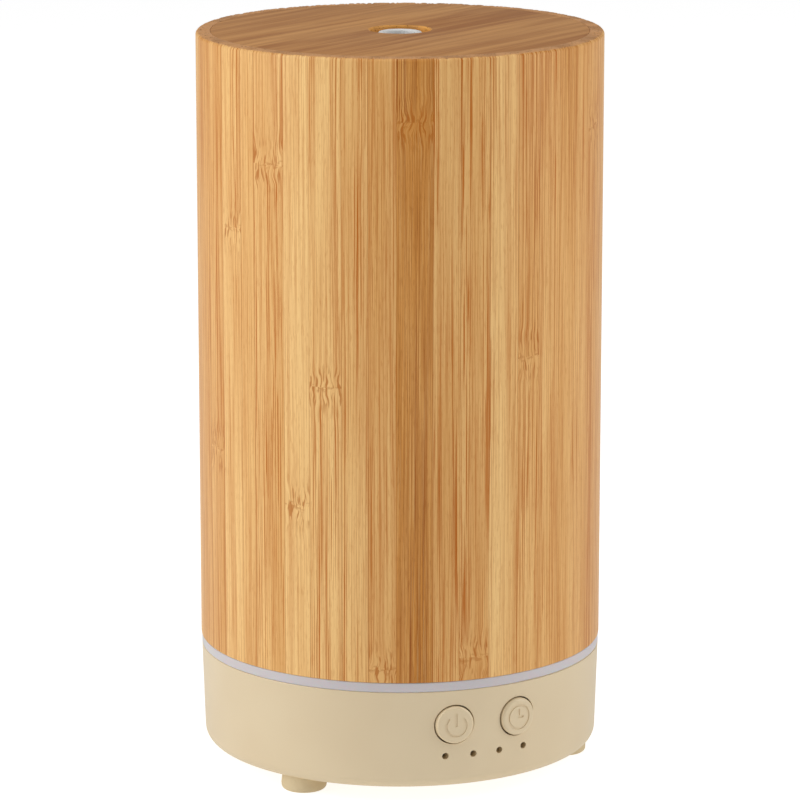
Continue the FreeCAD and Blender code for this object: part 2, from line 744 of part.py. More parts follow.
def dc_jack_pin():
    """The socket's centre pin, which the plug's sleeve slides over."""
    floor = jack_front - jack_bore_depth
    pin = rod_along_y(jack_pin_radius, floor, floor + jack_pin_length, 0, jack_level)
    tip = [e for e in pin.Edges if e.Length > 1 and abs(e.CenterOfMass.y - floor - jack_pin_length) < 1e-6]
    return pin.makeFillet(0.3, tip)


def driver_inductor():
    """The drum coil that drives the ultrasonic disc."""
    z = main_board_top
    drum = turned([(0, z), (4.6, z), (4.6, z + 1.4), (3.9, z + 1.4), (3.9, z + 8.0), (4.6, z + 8.0),
                   (4.6, z + 9.4), (0, z + 9.4)], {1: 0.3, 6: 0.3})
    return moved(drum, -23.0, -14.5)


def filter_capacitor():
    """The electrolytic capacitor beside the power socket."""
    z = main_board_top
    can = turned([(0, z), (4.0, z), (4.0, z + 1.4), (3.75, z + 1.9), (4.0, z + 2.4), (4.0, z + 10.0),
                  (0, z + 10.0)], {1: 0.4, 5: 0.5})
    return moved(can, -14.0, 22.0)


def heat_sink():
    """The finned aluminium block of the driver transistor."""
    z, x0, y0, length = main_board_top, -34.0, -6.0, 12.0
    back = block(x0 + 6.0, x0 + 7.6, y0, y0 + length, z, z + 9.0)
    fins = [block(x0, x0 + 6.5, y0 + i * 2.2, y0 + i * 2.2 + 1.0, z + 0.6, z + 9.0) for i in range(6)]
    return fused([back] + fins)


def driver_transistor():
    """The power transistor that stands against the heat sink."""
    z, x = main_board_top, -26.4
    body = block(x, x + 3.2, -4.5, 4.5, z + 1.0, z + 8.0)
    legs = [block(x + 1.2, x + 1.9, y - 0.4, y + 0.4, z, z + 1.5) for y in (-2.5, 0.0, 2.5)]
    return fused([body] + legs)


def controller_chip():
    """The sixteen-legged control chip."""
    z, x0, y0 = main_board_top, -12.0, -6.0
    body = block(x0, x0 + 4.0, y0, y0 + 10.0, z + 0.2, z + 1.7)
    legs = []
    for i in range(8):
        y = y0 + 0.55 + i * 1.27
        legs.append(block(x0 - 1.0, x0 + 5.0, y - 0.2, y + 0.2, z, z + 0.8))
    return fused([body] + legs)


def connector_places():
    """Each white connector on the main board: its centre and its two half sizes."""
    return {"fan": (-4.0, 7.0, 2.2, 3.4), "disc": (-17.0, 8.5, 2.2, 3.4), "light": (-29.5, 11.0, 2.2, 3.6),
            "buttons": (-9.8, -20.8, 4.6, 2.2)}


connector_height = 5.0


def board_connectors():
    """The white connectors that the leads plug into."""
    housings = []
    for x, y, half_x, half_y in connector_places().values():
        z = main_board_top
        housing = block(x - half_x, x + half_x, y - half_y, y + half_y, z, z + connector_height)
        upright = [e for e in housing.Edges if abs(e.tangentAt(e.FirstParameter).z) > 0.9]
        housings.append(housing.makeFillet(0.5, upright))
    return Part.makeCompound(housings)


def chip_components():
    """The small resistors and capacitors of the main board."""
    places = [(-3.5, -6.0, 0), (-3.5, -3.0, 0), (-3.5, 0.0, 0), (-16.5, -6.0, 90), (-19.0, -6.0, 90),
              (-17.5, 0.5, 0), (-21.0, 14.0, 90), (-23.5, 14.0, 90), (-8.5, 13.0, 0), (-8.5, 16.0, 0),
              (6.5, 19.0, 90), (9.5, 19.0, 90), (6.5, 24.0, 90), (9.5, 24.0, 90), (-8.0, 22.0, 0)]
    chips = []
    for x, y, turn in places:
        chip = block(x - 1.0, x + 1.0, y - 0.6, y + 0.6, main_board_top, main_board_top + 0.7)
        chips.append(spun(chip, turn, x, y))
    return Part.makeCompound(chips)


# ---- light board ----------------------------------------------------------------------------------------
def light_board():
    """The ring board under the tank's flange, staked to it by pegs."""
    low, high = light_board_under, light_board_top
    board = pipe(light_board_outer, light_board_inner, low, high)
    pegs = [polar(led_circle, azimuth) for azimuth in peg_azimuths]
    return cut_all(board, [rod(1.0, low - 1, high + 1, p.x, p.y) for p in pegs])


def light_leds():
    """The coloured lamps on the ring board, which shine up into the light ring."""
    lamps = []
    for i in range(led_count):
        azimuth = 22.5 + i * 360 / led_count
        lamp = block(-1.4, 1.4, -led_circle - 1.7, -led_circle + 1.7, light_board_top, ring_bottom - 0.2)
        lamps.append(spun(lamp, azimuth))
    return Part.makeCompound(lamps)


# ---- leads ----------------------------------------------------------------------------------------------
connector_top = main_board_top + connector_height
lead_radius = 0.5


def fan_leads():
    """The fan's two leads, from its frame over to their connector."""
    x, y, _, _ = connector_places()["fan"]
    side = fan_x - fan_size / 2
    runs = []
    for offset in (-1.0, 1.0):
        runs.append(wire_run([(side, y + offset, 12.5), (side - 1.8, y + offset, 12.5),
                              (-1.0, y + offset, 18.0), (x, y + offset, 18.0),
                              (x, y + offset, connector_top)], lead_radius))
    return Part.makeCompound(runs)


def disc_leads():
    """The two leads from the ceramic down to their connector."""
    x, y, _, _ = connector_places()["disc"]
    _, ceramic_under, _ = disc_levels()
    runs = []
    for offset in (-1.2, 1.2):
        start_x = well_x + offset * 2
        runs.append(wire_run([(start_x, well_y, ceramic_under), (start_x, well_y, 20.5),
                              (x, y + offset, 18.5), (x, y + offset, connector_top)], lead_radius))
    return Part.makeCompound(runs)


def light_leads():
    """The four leads from the ring board down to their connector."""
    x, y, _, _ = connector_places()["light"]
    runs = []
    for i in range(4):
        offset = (i - 1.5) * 1.5
        runs.append(wire_run([(-34.3, y + offset, light_board_under), (-34.3, y + offset, 18.2),
                              (x, y + offset, 18.2), (x, y + offset, connector_top)], lead_radius))
    return Part.makeCompound(runs)


def button_leads():
    """The six leads between the button board and the main board."""
    x, y, _, _ = connector_places()["buttons"]
    back = button_board_front + button_board_thickness
    runs = []
    for i in range(6):
        place = x + (i - 2.5) * 1.2
        runs.append(wire_run([(place, back, 17.5), (place, y, 17.5), (place, y, connector_top)],
                             lead_radius))
    return Part.makeCompound(runs)


def export_all():
    """Writes every sub-part to its own STEP file."""
    left, right = -button_spacing / 2, button_spacing / 2
    made = {
        "bamboo_sleeve": bamboo_sleeve(),
        "bamboo_top_disc": bamboo_top_disc(),
        "cover_liner": cover_liner(),
        "base_shell": base_shell(),
        "base_screws": base_screws(),
        "water_tank": water_tank(),
        "light_ring": light_ring(),
        "air_duct": air_duct(),
        "fan_hood": fan_hood(),
        "duct_cap": duct_cap(),
        "transducer_plate": transducer_plate(),
        "piezo_ceramic": piezo_ceramic(),
        "disc_seal": disc_seal(),
        "disc_retainer": disc_retainer(),
        "retainer_screws": retainer_screws(),
        "fan_frame": fan_frame(),
        "fan_impeller": fan_impeller(),
        "fan_magnet": fan_magnet(),
        "fan_shaft": fan_shaft(),
        "fan_stator": fan_stator(),
        "fan_screws": fan_screws(),
        "fan_gasket": fan_gasket(),
        "power_button": button("power", left),
        "timer_button": button("timer", right),
        "power_plunger": plunger(left),
        "timer_plunger": plunger(right),
        "power_switch": push_switch(left),
        "timer_switch": push_switch(right),
        "button_board": button_board(),
        "indicator_leds": indicator_leds(),
        "main_board": main_board(),
        "board_screws": board_screws(),
        "dc_jack": dc_jack(),
        "dc_jack_pin": dc_jack_pin(),
        "driver_inductor": driver_inductor(),
        "filter_capacitor": filter_capacitor(),
        "heat_sink": heat_sink(),
        "driver_transistor": driver_transistor(),
        "controller_chip": controller_chip(),
        "board_connectors": board_connectors(),
        "chip_components": chip_components(),
        "light_board": light_board(),
        "light_leds": light_leds(),
        "fan_leads": fan_leads(),
        "disc_leads": disc_leads(),
        "light_leads": light_leads(),
        "button_leads": button_leads(),
    }
    for name, azimuth in foot_azimuths.items():
        made[name] = foot(azimuth)
    os.makedirs("parts", exist_ok=True)
    for name, shape in made.items():
        if not shape.isValid() or shape.Volume <= 0 or not shape.Solids:
            raise ValueError(f"{name} is not a valid solid")
        shape.exportStep(os.path.join("parts", name + ".step"))
        print(f"{name:18s} {len(shape.Solids)} solid(s) {shape.Volume / 1000:8.3f} cm3")


export_all()
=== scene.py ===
"""Finishes and fine surfaces of a bamboo essential oil diffuser.

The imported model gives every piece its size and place. This script adds the bamboo cover's turned surfaces,
the copper windings, and a finish for every piece, then sets up a plain studio.
"""
import json
import logging
import math
from dataclasses import dataclass, field
from enum import Enum
from typing import Any, Sequence

import bpy
import numpy as np
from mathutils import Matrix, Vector

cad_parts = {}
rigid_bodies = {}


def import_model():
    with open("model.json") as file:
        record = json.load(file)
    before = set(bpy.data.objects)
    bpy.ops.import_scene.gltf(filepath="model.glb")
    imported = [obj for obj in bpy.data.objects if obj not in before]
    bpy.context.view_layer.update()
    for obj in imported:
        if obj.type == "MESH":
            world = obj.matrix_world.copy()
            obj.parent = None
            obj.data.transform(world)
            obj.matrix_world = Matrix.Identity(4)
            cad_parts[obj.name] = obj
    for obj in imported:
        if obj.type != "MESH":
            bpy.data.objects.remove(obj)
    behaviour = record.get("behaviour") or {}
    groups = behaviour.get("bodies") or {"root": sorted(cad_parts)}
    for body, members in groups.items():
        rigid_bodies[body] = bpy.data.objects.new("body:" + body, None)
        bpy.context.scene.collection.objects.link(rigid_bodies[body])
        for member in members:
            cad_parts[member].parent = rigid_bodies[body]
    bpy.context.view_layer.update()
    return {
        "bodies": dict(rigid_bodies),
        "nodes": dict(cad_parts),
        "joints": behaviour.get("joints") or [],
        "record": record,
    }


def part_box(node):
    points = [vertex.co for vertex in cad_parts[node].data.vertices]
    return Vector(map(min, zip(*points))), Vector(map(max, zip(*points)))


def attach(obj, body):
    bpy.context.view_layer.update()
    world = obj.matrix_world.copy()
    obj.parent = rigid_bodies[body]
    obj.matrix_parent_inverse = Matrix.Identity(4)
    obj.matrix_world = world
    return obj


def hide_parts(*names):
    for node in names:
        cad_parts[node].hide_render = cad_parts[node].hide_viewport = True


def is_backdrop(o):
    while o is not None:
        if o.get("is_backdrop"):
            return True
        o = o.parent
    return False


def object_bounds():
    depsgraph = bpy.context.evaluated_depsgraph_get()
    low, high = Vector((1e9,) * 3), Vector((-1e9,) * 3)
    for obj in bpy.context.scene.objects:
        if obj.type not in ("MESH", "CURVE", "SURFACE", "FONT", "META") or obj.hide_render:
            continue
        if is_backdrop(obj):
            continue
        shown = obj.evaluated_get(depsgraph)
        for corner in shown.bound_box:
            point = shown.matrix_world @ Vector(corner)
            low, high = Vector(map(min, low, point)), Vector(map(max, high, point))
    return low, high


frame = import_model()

LOG = logging.getLogger("diffuser")
MM = 0.001
Colour = tuple[float, float, float]


def srgb(red: int, green: int, blue: int) -> Colour:
    """Gives the linear colour of a display colour.

    Args:
        red, green, blue: the display colour's channels, 0 to 255.

    Returns:
        The three linear channels, each c/12.92 near black and ((c + 0.055)/1.055)^2.4 above.
    """
    def linear(channel: int) -> float:
        """Undoes the display curve for one channel."""
        c = channel / 255
        return c / 12.92 if c <= 0.04045 else ((c + 0.055) / 1.055) ** 2.4

    return linear(red), linear(green), linear(blue)


# ---- node trees -----------------------------------------------------------------------------------------
class Graph:
    """Adds nodes to a tree, feeds their inputs and sets them out in columns."""

    def __init__(self, tree: bpy.types.NodeTree) -> None:
        """Starts on a tree.

        Args:
            tree: the material's or the group's node tree.
        """
        self.tree = tree
        self.count = 0

    def add(self, kind: str, **settings: Any) -> bpy.types.Node:
        """Adds a node.

        Args:
            kind: the node's class name.
            settings: properties of the node to set.

        Returns:
            The new node.
        """
        node = self.tree.nodes.new(kind)
        node.location = (190 * (self.count // 6), -170 * (self.count % 6))
        self.count += 1
        for name, value in settings.items():
            setattr(node, name, value)
        return node

    def feed(self, socket: bpy.types.NodeSocket, value: Any) -> None:
        """Links an output to an input, or sets the input's own value.

        Args:
            socket: the input.
            value: an output socket, a number, or a colour or vector of three.
        """
        if isinstance(value, bpy.types.NodeSocket):
            self.tree.links.new(value, socket)
        elif isinstance(value, (tuple, list)):
            padded = tuple(value) + (1.0,) * (len(socket.default_value) - len(value))
            socket.default_value = padded
        else:
            socket.default_value = value

    def math(self, operation: str, *values: Any, clamp: bool = False) -> bpy.types.NodeSocket:
        """Adds a Math node.

        Args:
            operation: the operation's name.
            values: what it works on.
            clamp: True to keep the result between 0 and 1.

        Returns:
            The result.
        """
        node = self.add("ShaderNodeMath", operation=operation, use_clamp=clamp)
        for socket, value in zip(node.inputs, values):
            self.feed(socket, value)
        return node.outputs[0]

    def times(self, first: Any, second: Any, clamp: bool = False) -> bpy.types.NodeSocket:
        """Multiplies two values."""
        return self.math("MULTIPLY", first, second, clamp=clamp)

    def plus(self, first: Any, second: Any, clamp: bool = False) -> bpy.types.NodeSocket:
        """Adds two values."""
        return self.math("ADD", first, second, clamp=clamp)

    def minus(self, first: Any, second: Any) -> bpy.types.NodeSocket:
        """Takes the second value from the first."""
        return self.math("SUBTRACT", first, second)

    def step(self, value: Any, low: float, high: float, start: float = 0.0,
             end: float = 1.0) -> bpy.types.NodeSocket:
        """Runs smoothly from start to end while a value goes from low to high.

        Args:
            value: what is followed.
            low, high: the values where the run starts and ends.
            start, end: the results before and after the run.

        Returns:
            The result.
        """
        node = self.add("ShaderNodeMapRange", interpolation_type="SMOOTHSTEP")
        for socket, item in zip(node.inputs, (value, low, high, start, end)):
            self.feed(socket, item)
        return node.outputs[0]

    def mix(self, factor: Any, first: Any, second: Any) -> bpy.types.NodeSocket:
        """Mixes two colours.

        Args:
            factor: the second colour's share.
            first, second: the colours.

        Returns:
            The mixed colour.
        """
        node = self.add("ShaderNodeMix", data_type="RGBA")
        self.feed(node.inputs[0], factor)
        self.feed(node.inputs[6], first)
        self.feed(node.inputs[7], second)
        return node.outputs[2]

    def vector(self, x: Any, y: Any, z: Any) -> bpy.types.NodeSocket:
        """Puts three numbers together.

        Args:
            x, y, z: the numbers.

        Returns:
            The vector.
        """
        node = self.add("ShaderNodeCombineXYZ")
        for socket, value in zip(node.inputs, (x, y, z)):
            self.feed(socket, value)
        return node.outputs[0]

    def split(self, vector: Any) -> Sequence[bpy.types.NodeSocket]:
        """Takes a vector apart.

        Args:
            vector: the vector or colour.

        Returns:
            Its three numbers.
        """
        node = self.add("ShaderNodeSeparateXYZ")
        self.feed(node.inputs[0], vector)
        return node.outputs

    def noise(self, vector: Any, scale: float = 1.0, detail: float = 2.0,
              roughness: float = 0.5) -> bpy.types.NodeSocket:
        """Adds a Noise Texture.

        Args:
            vector: the place in the noise.
            scale: how many features fit in a unit.
            detail: how many finer layers are added.
            roughness: how strong the finer layers are.

        Returns:
            Its value, about 0.5 on average.
        """
        node = self.add("ShaderNodeTexNoise", noise_dimensions="3D")
        self.feed(node.inputs["Vector"], vector)
        for name, value in (("Scale", scale), ("Detail", detail), ("Roughness", roughness)):
            self.feed(node.inputs[name], value)
        return node.outputs[0]

    def voronoi(self, vector: Any, scale: float, output: str = "Distance") -> bpy.types.NodeSocket:
        """Adds a Voronoi Texture.

        Args:
            vector: the place in the texture.
            scale: how many cells fit in a unit.
            output: the name of the output that is used.

        Returns:
            That output.
        """
        node = self.add("ShaderNodeTexVoronoi")
        self.feed(node.inputs["Vector"], vector)
        self.feed(node.inputs["Scale"], scale)
        return node.outputs[output]

    def place(self, group: bpy.types.NodeTree, **values: Any) -> bpy.types.Node:
        """Places a node group.

        Args:
            group: the group's tree.
            values: its inputs by name, in small letters.

        Returns:
            The group's node.
        """
        node = self.add("ShaderNodeGroup")
        node.node_tree = group
        for name, value in values.items():
            self.feed(node.inputs[name.capitalize()], value)
        return node


FLOAT, COLOUR, VECTOR = "NodeSocketFloat", "NodeSocketColor", "NodeSocketVector"
LOOK = {"Colour": COLOUR, "Roughness": FLOAT, "Height": FLOAT}


class Group:
    """A shader node group with named inputs and outputs, built once."""

    def __init__(self, name: str, inputs: dict[str, tuple[str, Any]], outputs: dict[str, str]) -> None:
        """Makes an empty group.

        Args:
            name: the group's name.
            inputs: for each input its socket type and default.
            outputs: for each output its socket type.
        """
        self.tree = bpy.data.node_groups.new(name, "ShaderNodeTree")
        for title, (kind, default) in inputs.items():
            socket = self.tree.interface.new_socket(title, in_out="INPUT", socket_type=kind)
            if default is not None:
                socket.default_value = (*default, 1.0) if kind == COLOUR else default
        for title, kind in outputs.items():
            self.tree.interface.new_socket(title, in_out="OUTPUT", socket_type=kind)
        self.graph = Graph(self.tree)
        self.given = self.graph.add("NodeGroupInput").outputs
        self.result = self.graph.add("NodeGroupOutput").inputs

    def finish(self, **values: bpy.types.NodeSocket) -> bpy.types.NodeTree:
        """Feeds the group's outputs.

        Args:
            values: the outputs by name, in small letters.

        Returns:
            The group's tree.
        """
        for name, value in values.items():
            self.graph.feed(self.result[name.capitalize()], value)
        return self.tree


def stave_group() -> bpy.types.NodeTree:
    """Builds the look of upright bamboo staves: fibres, streaks, knots and glued joints.

    Fibres are noise stretched some fifty times along the stave. Near a stave's knot the noise's place is
    pushed sideways, above the knot it is another noise, and short dark marks cross the stave.
    """
    group = Group("Bamboo staves", {
        "Left": (FLOAT, 3.0), "Right": (FLOAT, 3.0), "Around": (FLOAT, 0.0), "Along": (FLOAT, 0.0),
        "Tone": (FLOAT, 0.5), "Phase": (FLOAT, 0.5), "Knot": (FLOAT, -50.0), "Streaks": (FLOAT, 0.5),
        "Pale": (COLOUR, srgb(250, 206, 138)), "Honey": (COLOUR, srgb(206, 134, 52)),
        "Fibre": (COLOUR, srgb(186, 98, 2)), "Deep": (COLOUR, srgb(128, 58, 4)),
    }, LOOK)
    g, given = group.graph, group.given
    above = g.minus(given["Along"], given["Knot"])
    wander = g.minus(g.noise(g.vector(given["Around"], given["Phase"], 0.0), 0.45), 0.5)
    off_knot = g.math("ABSOLUTE", g.plus(above, g.times(wander, 5.0)))
    near_knot = g.step(off_knot, 1.0, 9.0, 1.0, 0.0)
    seed = g.plus(g.times(given["Phase"], 57.0),
                  g.times(g.math("GREATER_THAN", above, 0.0), 0.35))
    curl = g.minus(g.noise(g.vector(given["Around"], g.times(given["Along"], 0.6),
                                               seed), 0.30, 1.0), 0.5)
    drift = g.minus(g.noise(g.vector(given["Around"], g.times(given["Along"], 0.06),
                                                seed), 0.10, 1.0), 0.5)
    across = g.plus(given["Around"], g.times(g.times(curl, near_knot), 2.6))
    across = g.plus(across, g.times(drift, 1.2))

    def strand(width: float, length: float, shift: float, detail: float = 1.0) -> Any:
        """Stretches a noise along the stave.

        Args:
            width, length: the size of its features in millimetres.
            shift: a number that makes it differ from the other noises.
            detail: how many finer layers are added.

        Returns:
            The noise's value.
        """
        return g.noise(g.vector(g.times(across, 1 / width),
                                g.times(given["Along"], 1 / length),
                                g.plus(seed, shift)), 1.0, detail)

    hair = strand(0.24, 26.0, 0.0, 2.0)
    band = strand(0.90, 95.0, 5.0)
    line = strand(0.40, 85.0, 11.0)
    thin = strand(0.20, 30.0, 15.0)
    pores = strand(0.17, 2.4, 27.0, 2.0)
    crowd = strand(2.6, 160.0, 23.0)
    cloud = strand(7.0, 90.0, 19.0)
    tone = g.plus(given["Tone"], g.times(g.minus(cloud, 0.5), 0.9), clamp=True)
    colour = g.mix(tone, given["Pale"], given["Honey"])
    streak = g.mix(g.step(tone, 0.40, 1.1), given["Fibre"], given["Deep"])
    colour = g.mix(g.step(band, 0.48, 0.66, 0.0, 0.26), colour, streak)
    crowded = g.times(g.step(crowd, 0.38, 0.62, 0.10, 1.0), given["Streaks"])
    thin_lines = g.times(g.step(thin, 0.555, 0.60), g.plus(crowded, 0.20), clamp=True)
    bold_lines = g.times(g.step(line, 0.595, 0.635), g.plus(crowded, 0.12), clamp=True)
    colour = g.mix(g.times(thin_lines, 0.85), colour, streak)
    colour = g.mix(g.times(bold_lines, 0.90), colour, streak)
    colour = g.mix(g.step(hair, 0.50, 0.66, 0.0, 0.27), colour, streak)
    colour = g.mix(g.step(hair, 0.34, 0.48, 0.26, 0.0), colour, given["Pale"])
    colour = g.mix(g.step(pores, 0.54, 0.68, 0.0, 0.26), colour, streak)
    dark = g.mix(0.60, given["Fibre"], (0.20, 0.07, 0.012))
    ticks = g.noise(g.vector(g.times(across, 2.3), g.times(given["Along"], 0.24),
                             g.plus(seed, 31.0)), 1.0, 2.0)
    scar = g.noise(g.vector(given["Around"], g.times(given["Along"], 2.4), seed), 0.6, 1.0)
    crossing = g.times(g.step(off_knot, 1.2, 7.0, 1.0, 0.0), g.step(ticks, 0.53, 0.61))
    scarred = g.times(g.step(off_knot, 0.2, 1.1, 1.0, 0.0), g.step(scar, 0.53, 0.60))
    marks = g.math("MAXIMUM", crossing, g.times(scarred, 0.55))
    colour = g.mix(g.step(off_knot, 0.0, 5.0, 0.50, 0.0), colour, g.mix(tone, given["Pale"], given["Honey"]))
    colour = g.mix(g.times(marks, 0.70), colour, g.mix(0.75, dark, given["Fibre"]))
    edge = g.math("MINIMUM", given["Left"], given["Right"])
    uneven = g.noise(g.vector(given["Phase"], g.times(given["Along"], 0.012), seed), 1.0)
    joint = g.times(g.step(edge, 0.02, 0.16, 1.0, 0.0), g.step(uneven, 0.36, 0.62, 0.15, 0.70))
    colour = g.mix(joint, colour, g.mix(0.25, given["Fibre"], (0.16, 0.06, 0.015)))
    height = g.minus(g.times(hair, 0.20), g.times(joint, 0.25))
    height = g.minus(height, g.times(bold_lines, 0.12))
    height = g.minus(height, g.times(marks, 0.10))
    rough = g.plus(g.times(hair, 0.16), g.times(bold_lines, 0.10))
    return group.finish(colour=colour, roughness=g.plus(rough, 0.36), height=height)


def board_group() -> bpy.types.NodeTree:
    """Builds the look of a planed bamboo board: strips side by side, long fibres and faint saw marks."""
    group = Group("Bamboo board", {
        "Vector": (VECTOR, None), "Pale": (COLOUR, srgb(220, 162, 97)), "Dark": (COLOUR, srgb(156, 94, 41)),
        "Strip": (FLOAT, 11.0),
    }, LOOK)
    g, given = group.graph, group.given
    along, across, _ = g.split(given["Vector"])
    bend = g.minus(g.noise(g.vector(g.times(along, 0.03), g.times(across, 0.09),
                                               0.0), 1.0, 1.0), 0.5)
    across = g.plus(across, g.times(bend, 2.0))
    strip = g.voronoi(g.vector(g.math("DIVIDE", across, given["Strip"]), 0.0, 0.0), 1.0, "Color")
    shade = g.split(strip)[0]
    fine = g.noise(g.vector(g.times(along, 0.06), g.times(across, 2.6), shade), 1.0, 3.0)
    wide = g.noise(g.vector(g.times(along, 0.022), g.times(across, 0.42), shade), 1.0, 2.0)
    tone = g.plus(g.times(shade, 0.46), g.step(wide, 0.30, 0.70, 0.04, 0.50), clamp=True)
    colour = g.mix(tone, given["Pale"], given["Dark"])
    colour = g.mix(g.step(fine, 0.50, 0.70, 0.0, 0.28), colour, given["Dark"])
    colour = g.mix(g.step(fine, 0.30, 0.48, 0.20, 0.0), colour, given["Pale"])
    saw_place = g.plus(g.times(along, 0.9), g.times(across, 0.6))
    saw = g.math("SINE", g.times(saw_place, 5.2))
    patch = g.step(g.noise(g.vector(along, across, 3.0), 0.07, 1.0), 0.45, 0.66)
    ripple = g.times(saw, patch)
    colour = g.mix(g.times(g.plus(ripple, 1.0), 0.035), colour, given["Dark"])
    speck = g.noise(g.vector(along, across, 9.0), 1.9, 2.0)
    colour = g.mix(g.step(speck, 0.70, 0.78, 0.0, 0.5), colour, given["Dark"])
    height = g.plus(g.times(fine, 0.5), g.times(ripple, 0.08))
    rough = g.plus(g.times(fine, 0.2), 0.42)
    return group.finish(colour=colour, roughness=rough, height=height)


def end_grain_group() -> bpy.types.NodeTree:
    """Builds the look of cut bamboo ends: close dark vessel dots in a paler ground."""
    group = Group("Bamboo end grain", {
        "Vector": (VECTOR, None), "Pale": (COLOUR, srgb(186, 138, 92)), "Dark": (COLOUR, srgb(96, 56, 24)),
        "Density": (FLOAT, 1.0),
    }, LOOK)
    g, given = group.graph, group.given
    dots = g.step(g.voronoi(given["Vector"], 2.3), 0.16, 0.36, 1.0, 0.0)
    gaps = g.step(g.noise(given["Vector"], 0.9, 2.0), 0.40, 0.60)
    dark = g.times(g.times(dots, gaps), given["Density"], clamp=True)
    colour = g.mix(dark, given["Pale"], given["Dark"])
    soft = g.noise(given["Vector"], 0.25, 2.0)
    colour = g.mix(g.step(soft, 0.40, 0.70, 0.0, 0.35), colour, given["Dark"])
    height = g.minus(g.times(soft, 0.3), g.times(dark, 0.5))
    return group.finish(colour=colour, roughness=g.plus(g.times(dark, 0.2), 0.5),
                        height=height)


def moulded_group() -> bpy.types.NodeTree:
    """Builds the look of moulded plastic or rubber: a spark-eroded texture and a faint cloudiness."""
    group = Group("Moulded surface", {
        "Vector": (VECTOR, None), "Colour": (COLOUR, (0.8, 0.8, 0.8)), "Shade": (COLOUR, (0.7, 0.7, 0.7)),
        "Grain": (FLOAT, 4.0), "Roughness": (FLOAT, 0.5), "Spread": (FLOAT, 0.12),
    }, LOOK)
    g, given = group.graph, group.given
    fine = g.noise(given["Vector"], given["Grain"], 3.0, 0.6)
    cloud = g.noise(given["Vector"], 0.05, 2.0)
    colour = g.mix(g.step(cloud, 0.35, 0.70, 0.0, 0.5), given["Colour"], given["Shade"])
    colour = g.mix(g.step(fine, 0.52, 0.72, 0.0, 0.16), colour, given["Shade"])
    wave = g.plus(g.times(fine, 0.6), g.times(cloud, 0.4))
    rough = g.plus(given["Roughness"], g.times(g.minus(wave, 0.5), given["Spread"]))
    return group.finish(colour=colour, roughness=rough, height=fine)


def metal_group() -> bpy.types.NodeTree:
    """Builds the look of worked metal: fine turning or drawing lines, and dull patches."""
    group = Group("Worked metal", {
        "Vector": (VECTOR, None), "Colour": (COLOUR, (0.7, 0.7, 0.7)), "Tarnish": (COLOUR, (0.5, 0.5, 0.5)),
        "Pitch": (FLOAT, 6.0), "Roughness": (FLOAT, 0.3),
    }, LOOK)
    g, given = group.graph, group.given
    x, y, z = g.split(given["Vector"])
    lines = g.noise(g.vector(g.times(x, 0.3), g.times(y, 0.3),
                             g.times(z, given["Pitch"])), 1.0, 3.0)
    dull = g.noise(given["Vector"], 0.6, 3.0)
    colour = g.mix(g.step(dull, 0.45, 0.75, 0.0, 0.55), given["Colour"], given["Tarnish"])
    colour = g.mix(g.step(lines, 0.50, 0.75, 0.0, 0.25), colour, given["Tarnish"])
    rough = g.plus(given["Roughness"], g.times(g.minus(dull, 0.4), 0.3))
    return group.finish(colour=colour, roughness=rough, height=lines)


def circuit_group() -> bpy.types.NodeTree:
    """Builds the look of a circuit board: solder mask with raised tracks and tinned pads."""
    group = Group("Circuit board", {
        "Vector": (VECTOR, None), "Mask": (COLOUR, srgb(24, 92, 52)), "Track": (COLOUR, srgb(46, 122, 66)),
        "Pad": (COLOUR, srgb(196, 192, 176)),
    }, {**LOOK, "Tin": FLOAT})
    g, given = group.graph, group.given
    x, y, z = g.split(given["Vector"])
    snapped = g.vector(g.math("SNAP", x, 4.4), g.math("SNAP", y, 4.4), g.math("SNAP", z, 4.4))
    choice = g.add("ShaderNodeTexWhiteNoise", noise_dimensions="3D")
    g.feed(choice.inputs["Vector"], snapped)
    upright = g.math("GREATER_THAN", choice.outputs[0], 0.5)
    run = g.plus(g.times(x, upright),
                 g.times(g.plus(y, z), g.minus(1.0, upright)))
    track = g.step(g.math("PINGPONG", run, 0.55), 0.24, 0.30)
    pads = g.step(g.voronoi(given["Vector"], 0.45), 0.24, 0.28, 1.0, 0.0)
    colour = g.mix(track, given["Mask"], given["Track"])
    colour = g.mix(pads, colour, given["Pad"])
    height = g.plus(g.times(track, 0.4), pads)
    return group.finish(colour=colour, roughness=g.step(pads, 0.0, 1.0, 0.38, 0.3), height=height, tin=pads)


# ---- finishes -------------------------------------------------------------------------------------------
class Groups:
    """The node groups that the finishes share."""

    def __init__(self) -> None:
        """Builds each group once."""
        self.staves = stave_group()
        self.board = board_group()
        self.end_grain = end_grain_group()
        self.moulded = moulded_group()
        self.metal = metal_group()
        self.circuit = circuit_group()


